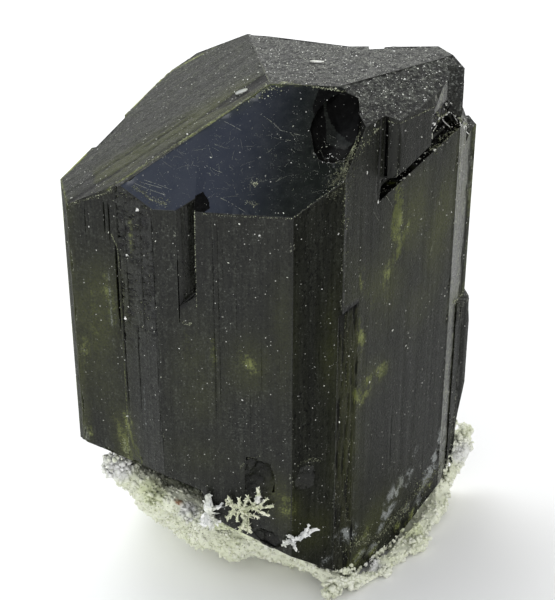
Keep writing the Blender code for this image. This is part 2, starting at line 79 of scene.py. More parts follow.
# %% From the drawing to the frame
MM = 0.001
DRAWN_LEFT = -20.1
DRAWN_BACK = 24.9
crystal_low, crystal_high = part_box("epidote_crystal")
ORIGIN = Vector((crystal_low.x - DRAWN_LEFT * MM, crystal_high.y - DRAWN_BACK * MM, 0.0))
TO_FRAME = Matrix.Translation(ORIGIN) @ Matrix.Scale(MM, 4)
TO_DRAWING = TO_FRAME.inverted()
print("drawing origin in the frame, mm", [round(c / MM, 3) for c in ORIGIN])


def drawing_of(mesh):
    """A mesh of the frame, in the drawing's millimetres."""
    bm = bmesh.new()
    bm.from_mesh(mesh)
    bm.transform(TO_DRAWING)
    return bm


def copied(node):
    """A node's mesh in the drawing, its corners merged."""
    bm = drawing_of(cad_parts[node].data)
    bmesh.ops.remove_doubles(bm, verts=bm.verts, dist=0.002)
    return bm


def mesh_of(name, bm):
    """A mesh with what was drawn. The drawing is done with."""
    mesh = bpy.data.meshes.new(name)
    bm.to_mesh(mesh)
    bm.free()
    return mesh


def linked(name, data):
    made = bpy.data.objects.new(name, data)
    bpy.context.scene.collection.objects.link(made)
    return made


def placed(name, bm, materials):
    """Moves a finished drawing into the frame as a piece that rides on the body."""
    bm.transform(TO_FRAME)
    mesh = mesh_of(name, bm)
    piece = linked(name, mesh)
    for material in materials:
        mesh.materials.append(material)
    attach(piece, "root")
    print(name, len(mesh.polygons), "faces")
    return piece


# %% [markdown]
# ## Camera
#
# The photograph looks down on the crystal at 28 degrees. Its upright edges hardly lean together, which
# means a long lens: 84 mm on a 36 mm sensor, a little over 11 cm in front.

# %% The camera
CAMERA_PLACE = Vector((-1.24, -101.97, 87.49))
CAMERA_DOWN = 28.0
camera_data = bpy.data.cameras.new("camera")
camera_data.lens = 84
camera_data.sensor_width = 36
camera_data.clip_start = 0.001
camera = linked("camera", camera_data)
camera.location = TO_FRAME @ CAMERA_PLACE
camera.rotation_euler = (math.radians(90 - CAMERA_DOWN), 0, 0)
bpy.context.scene.camera = camera

# %% [markdown]
# ## Smooth random values
#
# Grooves, grain and chips all come from one idea: random values on the points of a grid, blended
# smoothly in between. Stretching the points before the call stretches the pattern. The function works
# on a whole array at once, because the crystal has over a hundred thousand points.


# %% Random values between -1 and 1
def scrambled(cell, seed):
    """The random value of a cell, always the same for the same seed."""
    mixed = cell[:, 0] * 73856093 ^ cell[:, 1] * 19349663 ^ cell[:, 2] * 83492791 ^ seed * 2654435761
    mixed = (mixed & 0xFFFFFFFF) * 1274126177 & 0xFFFFFFFF
    mixed = (mixed ^ (mixed >> 15)) * 2246822519 & 0xFFFFFFFF
    return ((mixed ^ (mixed >> 13)) & 0xFFFFFF) / float(0x7FFFFF) - 1.0


def random_field(points, seed):
    cell = np.floor(points).astype(np.int64)
    part = points - cell
    part = part * part * (3 - 2 * part)
    total = np.zeros(len(points))
    for corner in itertools.product((0, 1), repeat=3):
        weight = np.prod(np.where(corner, part, 1 - part), axis=1)
        total += weight * scrambled(cell + np.array(corner), seed)
    return total


def steep(value, low, high):
    """0 below low, 1 above high and a smooth rise between."""
    part = np.clip((value - low) / (high - low), 0, 1)
    return part * part * (3 - 2 * part)


# %% [markdown]
# ## The crystal's large faces
#
# Each face of the crystal has its own skin, so the script first has to know them apart. A face belongs
# to the plane it lies in. The sloping faces are named here by a point and an outward direction, the
# same values that the drawing uses. Upright faces are told apart by the direction they look in.


# %% Names for the faces
def dipping(dip, fall):
    tilt = math.radians(dip)
    turn = math.radians(fall)
    return Vector((math.sin(tilt) * math.cos(turn), math.sin(tilt) * math.sin(turn), math.cos(tilt)))


PEBBLED_DIP = 15.5
BLUE_DIP = 37.0
SLOPES = {
    "left_roof": ((-1.87, 10.43, 48.3), dipping(25.5, -169.5)),
    "roof": ((0.0, 0.0, 48.2), dipping(0.8, -120)),
    "pebbled": ((4.47, 9.42, 48.2), dipping(PEBBLED_DIP, -55.7)),
    "blue": ((0.0, 0.0, 40.7), dipping(BLUE_DIP, -98.0)),
}
PIT_CENTRE = Vector((3.6, 6.2, 46.1))
PIT_REACH = 3.9
# Small breaks low down: centre and reach.
CHIPS = (
    (Vector((-3.0, 0.2, 15.2)), 2.1),
    (Vector((1.5, 0.55, 15.0)), 1.5),
    (Vector((-2.2, 0.0, 8.6)), 1.8),
    (Vector((-13.6, 2.0, 15.4)), 1.4),
)
KINDS = [
    "wall", "left_roof", "roof", "pebbled", "blue", "pit", "chip", "ledge", "underside", "edge", "dark",
    "worn", "strip", "hole", "left", "crumbly", "slot", "band",
]
HOLE_CENTRE = Vector((-7.55, 1.75, 42.1))
HOLE_REACH = 1.5
CRUMBLY_NORMAL = Vector((-0.75, -0.37, 0.547))
SLOT_START = Vector((7.1, 5.74, 40.3))
SLOT_END = Vector((14.4, 14.43, 43.0))
WORN_AZIMUTH = -126.4
BAND_AZIMUTH = -43.2
# Upright faces with a skin of their own: direction in plan, and how far it may be off.
UPRIGHT_KINDS = (
    ("dark", -60.8, 1), ("worn", WORN_AZIMUTH, 3), ("strip", -22.0, 3), ("band", BAND_AZIMUTH, 1.2),
    ("left", -167.0, 3),
)
# The large right face: its direction in plan, outwards from it and along it.
RIGHT_AZIMUTH = -40.0
RIGHT_OUT = (0.766, -0.643, 0.0)
RIGHT_ALONG = (0.643, 0.766, 0.0)


def azimuth_of(normal):
    return math.degrees(math.atan2(normal.y, normal.x))


def in_slot(centre, normal):
    """The floor and back of the slot, and the broken place at its end. Its flat outer lip doesn't count."""
    along = (SLOT_END - SLOT_START).normalized()
    far = (centre - SLOT_START).dot(along)
    height = (centre - SLOT_START - along * far).z
    lip = abs(azimuth_of(normal) - RIGHT_AZIMUTH) < 2 and abs(normal.z) < 0.05
    reach = 1.4 if far < 7.5 else 3.4
    behind = (centre - SLOT_START).dot(Vector(RIGHT_OUT))
    if lip and behind > -0.3:
        return False
    return -0.6 < far < 12.0 and -1.1 < height < reach and -2.2 < behind < 0.9


def kind_of(face):
    """Which skin a face of the crystal has."""
    centre = face.calc_center_median()
    normal = face.normal
    for name, (point, direction) in SLOPES.items():
        if normal.dot(direction) > 0.9995 and abs((centre - Vector(point)).dot(direction)) < 0.05:
            return name
    if (centre - HOLE_CENTRE).length < HOLE_REACH and face.calc_area() < 1.5:
        return "hole"
    if (centre - PIT_CENTRE).length < PIT_REACH and face.calc_area() < 8 and centre.z > 42:
        if abs(azimuth_of(normal) - RIGHT_AZIMUTH) > 3 or abs(normal.z) > 0.1:
            return "pit"
    for place, reach in CHIPS:
        if (centre - place).length < reach and face.calc_area() < 4:
            return "chip"
    if normal.dot(CRUMBLY_NORMAL) > 0.99:
        return "crumbly"
    if in_slot(centre, face.normal):
        return "slot"
    if normal.z > 0.35:
        return "ledge"
    if normal.z < -0.3:
        return "underside"
    for kind, azimuth, tolerance in UPRIGHT_KINDS:
        if abs(azimuth_of(normal) - azimuth) < tolerance:
            return kind
    return "wall"


# %% [markdown]
# ## Rounded edges
#
# No edge of a real crystal is perfectly sharp. A bevel of a few hundredths of a millimetre catches the
# light along every edge, which the eye reads as size. It is done while the mesh is still a few hundred
# flat faces, because a bevel needs clean long edges.

# %% Copy, flatten, bevel
EDGE_WIDTH = 0.055
SHARP = math.radians(10)
SAME_PLANE = math.radians(0.6)
SHORTEST_ROUNDED = 0.25
SMALLEST_ROUNDED = 0.3

crystal = copied("epidote_crystal")
bmesh.ops.dissolve_limit(
    crystal, angle_limit=SAME_PLANE, verts=crystal.verts, edges=crystal.edges, delimit=set()
)
bmesh.ops.dissolve_degenerate(crystal, edges=crystal.edges, dist=0.01)
kinds = crystal.faces.layers.int.new("kind")
group_layer = crystal.faces.layers.int.new("group")
for face in crystal.faces:
    face[kinds] = KINDS.index(kind_of(face))
worth_rounding = []
for edge in crystal.edges:
    smallest = min(face.calc_area() for face in edge.link_faces)
    inner = {KINDS[face[kinds]] for face in edge.link_faces} <= {"pit", "chip", "underside"}
    large = edge.calc_length() > SHORTEST_ROUNDED and smallest > SMALLEST_ROUNDED
    if edge.calc_face_angle() > SHARP and large and not inner:
        worth_rounding.append(edge)
rounded = bmesh.ops.bevel(
    crystal, geom=worth_rounding, offset=EDGE_WIDTH, offset_type="OFFSET", segments=2,
    profile=0.5, affect="EDGES", clamp_overlap=False, material=-1,
)
for face in rounded["faces"]:
    face[kinds] = KINDS.index("edge")
print("crystal", len(crystal.faces), "faces after the bevel")

# %% [markdown]
# ## Cutting the faces into a fine net
#
# To carry relief a face needs points. A bisect along a plane is the cleanest way to add them: it leaves
# the shape as it is and every cut is exactly straight, as the crystal's own grooves are. Each half is
# then cut again by its own middle plane, so a cut only ever looks at the few faces near it.


# %% Bisecting in halves
def cut_along(bm, faces, direction, places):
    """Cuts the faces by planes across a direction, at the given distances along it."""
    if not places or not faces:
        return
    half = len(places) // 2
    middle = places[half]
    edges = list({edge for face in faces for edge in face.edges})
    verts = list({vert for face in faces for vert in face.verts})
    found = bmesh.ops.bisect_plane(
        bm, geom=faces + edges + verts, dist=1e-5, plane_co=direction * middle, plane_no=direction
    )
    faces = [item for item in found["geom"] if isinstance(item, bmesh.types.BMFace)]
    lower = [face for face in faces if face.calc_center_median().dot(direction) < middle]
    upper = [face for face in faces if face.calc_center_median().dot(direction) >= middle]
    cut_along(bm, lower, direction, places[:half])
    cut_along(bm, upper, direction, places[half + 1:])


def faces_of(bm, *names):
    wanted = {KINDS.index(name) for name in names}
    return [face for face in bm.faces if face[kinds] in wanted]


def reach_of(faces, direction):
    along = [vert.co.dot(direction) for face in faces for vert in face.verts]
    return min(along), max(along)


def spaced(low, high, pitch, rng, scatter=0.5):
    """Places from low to high, a pitch apart on the average."""
    places = []
    here = low + pitch * rng.uniform(0.3, 1.0)
    while here < high:
        places.append(here)
        here += pitch * rng.uniform(1 - scatter, 1 + scatter)
    return places


# %% [markdown]
# ## Grooves of growth on the upright faces
#
# Epidote's prism faces are striated: the face is really a stack of very narrow flat strips, some a
# little deeper than others. So each upright face is cut into strips of random width, with a pair of
# cuts close together at each border to make a steep little step, and level cuts let a strip fade out
# along its length. Back faces get wider strips, since they are only seen in passing.

# %% Strips
SIDEWAYS, BACKWARDS, UP = Vector((1, 0, 0)), Vector((0, 1, 0)), Vector((0, 0, 1))
RISER = 0.014
LEVEL_PITCH = 1.1
FRONT_STRIP = 0.42
BACK_STRIP = 0.8
# Added to a direction, so that 0 on a face means that it has no strips.
GROUP_BASE = 1000
STRIP_KINDS = ("wall", "dark", "worn", "strip", "left", "band")
# Single deep grooves by direction of the face: place along it, half width, depth, lower and upper end.
GROOVES = {
    -98: (
        (-15.27, 0.15, 0.26, 28.0, 36.6), (-17.75, 0.06, 0.12, 36.5, 40.0),
        (-16.1, 0.07, 0.15, 37.6, 40.2), (-15.7, 0.07, 0.15, 36.2, 40.0),
        (-16.5, 0.05, 0.05, 18.0, 24.0), (-9.1, 0.04, 0.03, 16.0, 29.0), (-6.62, 0.09, 0.1, 20.0, 39.8),
        (-6.2, 0.07, 0.085, 22.0, 39.8), (-5.8, 0.06, 0.06, 29.0, 39.8), (-9.5, 0.07, 0.22, 33.5, 40.0),
        (-7.3, 0.05, 0.03, 19.0, 33.5), (-4.7, 0.05, 0.05, 26.0, 38.0), (-2.6, 0.06, 0.05, 12.0, 30.0),
        (-3.6, 0.05, 0.045, 14.0, 24.0), (-1.1, 0.05, 0.05, 22.0, 38.0), (-10.6, 0.05, 0.05, 14.0, 24.0),
    ),
    -126: (
        (-14.05, 0.13, 0.24, 27.0, 35.5), (-14.0, 0.1, 0.2, 20.5, 28.0),
        (-12.45, 0.07, 0.15, 21.0, 28.8), (-10.3, 0.06, 0.08, 20.0, 40.0),
        (-13.3, 0.06, 0.1, 29.0, 40.0), (-11.6, 0.06, 0.1, 29.0, 40.0),
    ),
    -40: (
        (6.6, 0.05, 0.04, 22.0, 40.0), (9.1, 0.12, 0.34, 40.5, 48.0), (12.6, 0.06, 0.12, 11.0, 16.5),
    ),
    -108: (
        (5.38, 0.14, 0.32, 39.0, 48.0),
    ),
}
strip_rng = random.Random(20)
strips = {}
groups = {}
for face in faces_of(crystal, *STRIP_KINDS):
    if face.calc_area() > 0.5:
        groups.setdefault(round(azimuth_of(face.normal) / 2) * 2, []).append(face)
for azimuth, faces in sorted(groups.items()):
    mean = sum((face.normal * face.calc_area() for face in faces), Vector())
    along = Vector((-mean.y, mean.x, 0)).normalized()
    low, high = reach_of(faces, along)
    facing_front = mean.normalized().y < 0.2
    pitch = FRONT_STRIP if facing_front else BACK_STRIP
    borders = spaced(low, high, pitch, strip_rng, 0.75)
    if not borders:
        continue
    strips[azimuth] = (along, borders)
    for face in faces:
        face[group_layer] = azimuth + GROUP_BASE
    cuts = [place + side for place in borders for side in (-RISER, RISER)]
    for place, width, *_ in GROOVES.get(azimuth, ()):
        cuts += [place + width * part for part in (-1.4, -0.9, -0.45, 0.0, 0.45, 0.9, 1.4)]
    if azimuth == round(BAND_AZIMUTH / 2) * 2:
        cuts += spaced(low, high, 0.1, strip_rng)
    cut_along(crystal, faces, along, sorted(cuts))
upright = [face for face in faces_of(crystal, *STRIP_KINDS) if face[group_layer]]
low, high = reach_of(upright, UP)
cut_along(crystal, upright, UP, spaced(low, high, LEVEL_PITCH, strip_rng))
print("crystal", len(crystal.faces), "faces with strips")

# %% [markdown]
# ## Points for the rough faces
#
# The roof faces, the worn band and the broken foot are rough in every direction, so they get a plain
# square net instead. The smooth dark blue face needs only a coarse one, and a fine one beside its breaks.

# %% Nets
FOOT_TOP = 6.5
FOOT_PITCH = 0.22
NETS = (
    (("left_roof", "roof", "pebbled", "ledge", "crumbly"), 0.17), (("blue",), 0.24),
    (("pit", "chip", "slot"), 0.2), (("underside",), 0.7),
)


def cut_net(faces, direction, pitch):
    """Cuts faces across a direction, at nearly even distances."""
    low, high = reach_of(faces, direction)
    cut_along(crystal, faces, direction, spaced(low, high, pitch, strip_rng, 0.25))


for names, pitch in NETS:
    for direction in (SIDEWAYS, BACKWARDS):
        cut_net(faces_of(crystal, *names), direction, pitch)
worn_turn = math.radians(WORN_AZIMUTH)
worn_across = Vector((-math.sin(worn_turn), math.cos(worn_turn), 0))
for names, direction, pitch in (
    (("pit", "chip", "slot"), UP, 0.2), (("worn",), UP, 0.12), (("worn",), worn_across, 0.16),
    (("band",), UP, 0.4),
):
    cut_net(faces_of(crystal, *names), direction, pitch)
for direction in (SIDEWAYS, BACKWARDS):
    for centre, reach, pitch in ((HOLE_CENTRE, 2.0, 0.06), (PIT_CENTRE, 5.4, 0.1)):
        blue = faces_of(crystal, "blue")
        rim = [face for face in blue if (face.calc_center_median() - centre).length < reach]
        cut_net(rim, direction, pitch)
for direction in (UP, Vector(RIGHT_ALONG)):
    foot = [
        face for face in faces_of(crystal, "wall")
        if abs(azimuth_of(face.normal) - RIGHT_AZIMUTH) < 2 and face.calc_center_median().z < FOOT_TOP
    ]
    cut_net(foot, direction, FOOT_PITCH)
print("crystal", len(crystal.faces), "faces with nets")

# %% [markdown]
# ## The shell-shaped breaks
#
# The black hollow beside the raised corner and the chips low down are conchoidal: epidote breaks like
# glass there, in smooth bowls. The frame has them as a few flat facets. Smoothing only the points that
# lie wholly inside a bowl rounds it and keeps its sharp rim.

# %% Smoothing the bowls
BOWLS = {KINDS.index("pit"), KINDS.index("chip")}
BOWL_PASSES = 14
inside = [vert for vert in crystal.verts if all(face[kinds] in BOWLS for face in vert.link_faces)]
for _ in range(BOWL_PASSES):
    bmesh.ops.smooth_vert(
        crystal, verts=inside, factor=0.6, use_axis_x=True, use_axis_y=True, use_axis_z=True
    )
print(len(inside), "points smoothed in the bowls")

# %% [markdown]
# ## Relief
#
# Now the points move. Every face pushes its own points straight in by its own amount. A point on an
# edge belongs to two or three faces, and moves so that it keeps the depth that each of them asks for,
# which is a small least-squares problem solved for all points at once. Every face asks only for moves
# inwards, so the crystal stays inside the frame's box.


# %% Depth of each kind of face
STRIAE_STRENGTH = {-40: 0.25, -98: 0.8}


def striae(points, group, seed):
    """How deep each point of a striated face lies below it."""
    along, borders = strips[group]
    place = points @ np.array(along)
    number = np.searchsorted(np.array(borders), place).astype(float)
    height = points[:, 2]
    level = random_field(np.stack([number * 3.7, height / 11.0, np.full(len(points), group)], 1), seed)
    broad = random_field(np.stack([place / 1.6, height / 26.0, np.full(len(points), group)], 1), seed + 1)
    depth = 0.014 * steep(level, -0.35, 0.75) + 0.02 * steep(broad, 0.1, 0.8)
    depth = STRIAE_STRENGTH.get(group, 1.0) * depth
    for centre, width, deepest, lower, upper in GROOVES.get(group, ()):
        sway = np.stack([height / 2.6, np.full(len(points), centre), np.zeros(len(points))], 1)
        centres = centre + 0.35 * width * random_field(sway, seed + 2)
        across = np.clip(1 - abs(place - centres) / width, 0, 1)
        ends = steep(height, lower - 1, lower + 1) * (1 - steep(height, upper - 1, upper + 1))
        depth += deepest * across * ends * (0.75 + 0.35 * random_field(sway * 3.1, seed + 3))
    if group == RIGHT_AZIMUTH:
        broken = 1 - steep(height + 0.8 * random_field(points / 2.0, seed + 4), 2.4, 5.6)
        depth += broken * (0.07 * steep(random_field(points / 1.1, seed + 5), -0.4, 0.6))
        depth += broken * (0.055 * steep(random_field(points / 0.4, seed + 6), -0.4, 0.6))
    return depth


def grain(points, size, seed):
    return random_field(points / size, seed)


RIDGE_ENDS = ((-15.4, 4.0, 41.4), (-1.9, 10.4, 48.3))
RIDGE_START = Vector(RIDGE_ENDS[0])
RIDGE = (Vector(RIDGE_ENDS[1]) - RIDGE_START).normalized()
UP_ROOF = SLOPES["left_roof"][1].cross(RIDGE)


def lined(points, wide, seed):
    """Random lines that run beside the ridge, and how far each point lies from it."""
    along = (points - np.array(RIDGE_START)) @ np.array(RIDGE)
    away = abs((points - np.array(RIDGE_START)) @ np.array(UP_ROOF))
    return random_field(np.stack([along / (18 * wide), away / wide, np.zeros(len(points))], 1), seed), away


def depth_of(kind, points):
    if kind == "left_roof":
        lines, away = lined(points, 0.42, 30)
        near = 1 - 0.75 * steep(away, 2.0, 7.0)
        return 0.05 * (0.5 + 0.5 * grain(points, 0.3, 31)) + 0.09 * near * steep(lines, -0.1, 0.7)
    if kind in ("roof", "ledge", "crumbly"):
        rough = 0.35 * grain(points, 0.6, 31) + 0.8 * grain(points, 0.27, 32)
        return 0.1 * steep(rough, -0.5, 0.8) + 0.03 * steep(grain(points, 2.4, 33), -0.2, 0.9)
    if kind == "pebbled":
        rough = 0.5 * grain(points, 0.42, 34) + 0.8 * grain(points, 0.24, 35)
        return 0.12 * steep(rough, -0.6, 0.7)
    if kind == "blue":
        return 0.006 * (1 + grain(points, 1.8, 36))
    if kind == "dark":
        return 0.012 * (1 + grain(points * np.array([1, 1, 0.3]), 0.4, 37))
    if kind == "worn":
        wrinkle = 0.7 * grain(points * np.array([1, 1, 1.2]), 0.9, 38)
        wrinkle = wrinkle + grain(points * np.array([1, 1, 2.6]), 0.3, 39)
        fade = 0.15 + 0.85 * steep(points[:, 2] + 2.5 * grain(points, 1.8, 46), 24.0, 31.0)
        return 0.17 * fade * steep(wrinkle, -0.3, 0.9)
    if kind == "band":
        ropes = grain(points * np.array([1, 1, 0.1]), 0.3, 47)
        ropes = ropes + 0.5 * grain(points * np.array([1, 1, 0.3]), 0.16, 48)
        return 0.1 * steep(ropes, -0.4, 0.7)
    if kind == "slot":
        return 0.12 * (1 + grain(points, 0.5, 45))
    if kind == "underside":
        return 0.5 * steep(grain(points, 2.2, 40), -0.6, 0.8) + 0.12 * (1 + grain(points, 0.8, 41))
    if kind == "pit":
        away = np.linalg.norm(points - np.array(PIT_CENTRE + Vector((2.2, 1.6, 1.9))), axis=1)
        return 0.035 * (1 + np.sin(away * 6.5)) * steep(grain(points, 1.3, 42), -0.2, 0.9)
    if kind == "chip":
        return 0.16 * (1 + grain(points, 0.7, 43)) + 0.07 * (1 + grain(points, 0.3, 44))
    return np.zeros(len(points))


# %% Moving the points
def read(collection, name, width, kind=np.float64):
    values = np.zeros(len(collection) * width, kind)
    collection.foreach_get(name, values)
    return values.reshape(-1, width) if width > 1 else values


crystal.normal_update()
net = bpy.data.meshes.new("net")
crystal.to_mesh(net)
points = read(net.vertices, "co", 3)
normals = read(net.polygons, "normal", 3)
corner_point = read(net.loops, "vertex_index", 1, np.int32)
corner_face = np.repeat(np.arange(len(net.polygons)), read(net.polygons, "loop_total", 1, np.int32))
face_kind = read(net.attributes["kind"].data, "value", 1, np.int32)
face_group = read(net.attributes["group"].data, "value", 1, np.int32)

corner_depth = np.zeros(len(corner_point))
for number, kind in enumerate(KINDS):
    chosen = face_kind[corner_face] == number
    corner_depth[chosen] = depth_of(kind, points[corner_point[chosen]])
for group in strips:
    chosen = face_group[corner_face] == group + GROUP_BASE
    corner_depth[chosen] += striae(points[corner_point[chosen]], group, 50)

# Holds every point back a little, which keeps the problem solvable on a flat face.
STAY_PUT = 0.02
flat = face_kind[corner_face] != KINDS.index("edge")
normal = normals[corner_face[flat]]
pull = np.zeros((len(points), 3, 3))
wish = np.zeros((len(points), 3))
np.add.at(pull, corner_point[flat], normal[:, :, None] * normal[:, None, :])
np.add.at(wish, corner_point[flat], -normal * corner_depth[flat][:, None])
moved = np.linalg.solve(pull + STAY_PUT * np.eye(3), wish[:, :, None])[:, :, 0]
print("deepest move in mm", round(float(np.linalg.norm(moved, axis=1).max()), 3))

# Depth at which the painted shade of a hollow of each kind is as dark as it gets.
DARKEST = {
    "worn": 0.16, "band": 0.13, "roof": 0.11, "left_roof": 0.12, "pebbled": 0.11, "ledge": 0.11,
    "chip": 0.5, "blue": 9.0,
}
darkest = np.array([DARKEST.get(kind, 0.13) for kind in KINDS])
hollow_shade = np.zeros(len(points))
share = np.clip(corner_depth / darkest[face_kind[corner_face]], 0, 1)
np.maximum.at(hollow_shade, corner_point, share ** 1.6)

# %% [markdown]
# ## Chips along the edges
#
# A crystal that has been handled has tiny chips along its edges, where pale powder shows. How near a
# point is to an edge comes from a search tree over the edge points. A random value then decides where
# the edge is chipped, and the same value is kept on the mesh, so that the finish can be paler there.

# %% Chips
CHIP_REACH = 0.34
CHIP_DEPTH = 0.16
# Start, end, half width and strength: edges that stayed crisp.
CRISP_EDGES = (
    ((-8.1, 1.1, 41.2), (-8.2, 1.2, 31.8), 0.9, 1.0), ((-7.4, 1.0, 40.6), (-0.2, 0.0, 40.7), 0.6, 0.7),
)


def tree_of(points):
    """A search tree that finds the nearest of many points."""
    tree = kdtree.KDTree(len(points))
    for number, co in enumerate(points):
        tree.insert(co, number)
    tree.balance()
    return tree


def line_values(points, lines):
    """The nearest line's strength at each point, fading to its sides."""
    found = np.zeros(len(points))
    for start, end, width, strength in lines:
        start, end = np.array(start), np.array(end)
        part = np.clip((points - start) @ (end - start) / ((end - start) @ (end - start)), 0, 1)
        away = np.linalg.norm(points - start - part[:, None] * (end - start), axis=1)
        found = np.maximum(found, strength * (1 - steep(away, 0.15 * width, width)))
    return found


edge_tree = tree_of(points[np.unique(corner_point[~flat])])
distance = np.array([edge_tree.find(co)[2] for co in points])
near_edge = 1 - steep(distance, 0.0, CHIP_REACH)
chipped = steep(grain(points, 1.1, 60) + 0.7 * grain(points, 0.4, 61), 0.35, 1.0)
chipped *= 1 - line_values(points, CRISP_EDGES)
inward = np.zeros((len(points), 3))
np.add.at(inward, corner_point, -normals[corner_face])
inward /= np.maximum(np.linalg.norm(inward, axis=1), 1e-9)[:, None]
moved += inward * (CHIP_DEPTH * chipped * near_edge)[:, None]

# %% [markdown]
# ## Where the crystal is not black
#
# Three things change its colour from place to place. Olive patches are where light passes through a
# thinner or clearer part, pale hazy ones are small breaks inside, and the thin left edge glows yellow
# green. Each patch has a named place on its face. They are kept as values on the points, and the
# finishes read them, so they stay where they are from any side.

# %% Patches
# By direction of the face: centre, half width, half height, slant in degrees, strength.
OLIVE = {
    -98: (
        ((-16.0, 4.2, 32.0), 0.6, 2.2, 0, 0.35), ((-18.1, 4.5, 26.0), 0.5, 2.1, 0, 0.45),
        ((-17.2, 4.4, 29.2), 0.5, 2.6, 0, 0.5), ((-15.5, 4.1, 29.8), 0.4, 2.6, 0, 0.45),
        ((-18.3, 4.5, 17.6), 0.4, 1.1, 15, 0.7), ((-3.9, 0.5, 27.4), 1.2, 0.6, -42, 0.7),
        ((-3.2, 0.5, 26.0), 0.8, 0.5, -50, 0.6), ((-6.7, 0.9, 27.8), 0.3, 2.0, 0, 0.5),
        ((-0.5, 0.1, 12.6), 0.8, 1.7, 20, 0.6), ((-7.7, 1.1, 25.2), 0.4, 0.8, 0, 0.4),
        ((-9.0, 1.2, 28.4), 0.3, 1.4, 0, 0.4),
    ),
    -126: (
        ((-14.9, 4.2, 15.9), 0.4, 3.2, 14, 0.8), ((-13.4, 3.1, 37.6), 0.26, 1.6, 0, 0.8),
        ((-14.1, 3.6, 17.5), 0.2, 2.4, 12, 0.5), ((-14.4, 3.8, 17.2), 0.14, 2.4, 16, 1.0),
        ((-13.6, 3.2, 15.0), 0.14, 2.2, 18, 0.9),
    ),
    -40: (
        ((6.1, 4.5, 27.2), 0.36, 1.1, 10, 2.2), ((6.5, 5.0, 21.6), 1.5, 0.6, 8, 2.8),
        ((7.9, 6.67, 21.9), 1.1, 0.5, 14, 2.4), ((9.2, 8.2, 37.6), 0.6, 2.2, 0, 1.6),
        ((10.0, 9.2, 35.4), 0.45, 1.3, -20, 0.7), ((8.3, 7.2, 32.2), 1.5, 0.7, 10, 0.5),
        ((6.2, 4.7, 33.6), 0.35, 1.4, 20, 0.4), ((7.0, 5.6, 4.8), 1.6, 1.0, 20, 0.45),
        ((10.4, 9.7, 6.9), 1.5, 1.0, 35, 0.5), ((8.2, 7.1, 28.6), 0.5, 1.2, 0, 0.3),
        ((9.0, 8.0, 38.0), 0.4, 2.0, -8, 2.0), ((9.6, 8.7, 34.6), 0.3, 1.2, -30, 1.6),
        ((13.4, 13.1, 36.6), 0.4, 1.4, -20, 0.5), ((7.3, 6.0, 30.4), 0.9, 0.35, 15, 1.1),
        ((8.3, 7.2, 31.4), 0.3, 0.8, -35, 1.0), ((6.0, 4.4, 32.6), 0.25, 1.2, 20, 0.9),
        ((6.4, 4.9, 2.5), 0.9, 0.6, 25, 1.1), ((7.9, 6.7, 1.9), 1.0, 0.5, 30, 0.8),
        ((5.2, 3.5, 2.2), 0.8, 0.5, 10, 0.9), ((10.6, 9.9, 2.6), 0.8, 0.5, 40, 0.7),
        ((12.2, 11.8, 2.6), 1.2, 0.4, 42, 1.2), ((14.0, 13.9, 4.4), 0.7, 0.5, 40, 1.0),
        ((10.4, 9.6, 7.4), 1.0, 0.5, 50, 1.0),
    ),
}
TINTS = {
    -43: (
        ((5.2, 3.6, 20.0), 2.0, 14.0, 0, 0.6),
    ),
    -40: (
        ((6.8, 5.4, 2.8), 3.0, 1.6, 20, 0.9), ((10.6, 9.9, 36.0), 3.0, 4.0, -25, 0.95),
        ((13.6, 13.4, 33.6), 2.2, 5.0, -10, 1.0), ((8.0, 6.9, 30.5), 3.2, 3.4, 15, 0.75),
        ((7.0, 5.7, 22.2), 2.8, 1.8, 2, 0.6), ((5.6, 4.0, 26.6), 1.4, 5.0, 0, 0.6),
        ((11.8, 11.4, 27.0), 3.0, 3.0, 0, 0.4), ((8.4, 7.4, 5.6), 3.4, 2.4, 28, 0.8),
    ),
    -98: (
        ((-17.0, 4.3, 29.5), 2.7, 4.9, 0, 1.0), ((-16.6, 4.3, 23.5), 2.0, 4.0, 0, 0.45),
        ((-19.0, 4.6, 24.0), 0.9, 16.0, 0, 0.9), ((-8.0, 1.1, 25.0), 2.0, 4.5, 0, 0.5),
        ((-3.6, 0.5, 26.5), 2.2, 2.6, 0, 0.6), ((-0.8, 0.1, 29.0), 1.0, 5.5, 0, 0.45),
        ((-8.0, 1.1, 17.0), 3.0, 2.0, 0, 0.3), ((-0.8, 0.1, 12.6), 1.4, 2.6, 15, 0.8),
    ),
    -126: (
        ((-14.8, 4.1, 16.0), 1.4, 4.6, 10, 0.9),
    ),
    -61: (
        ((3.4, 1.9, 28.0), 1.0, 4.0, 0, 0.5), ((2.0, 1.1, 8.8), 2.2, 2.2, 0, 0.5),
    ),
    -22: (
        ((15.6, 16.5, 40.0), 2.0, 2.6, 0, 0.8), ((15.8, 17.0, 35.0), 2.0, 2.6, 0, 0.6),
        ((15.7, 16.8, 24.5), 2.0, 1.2, 0, 0.8),
    ),
}
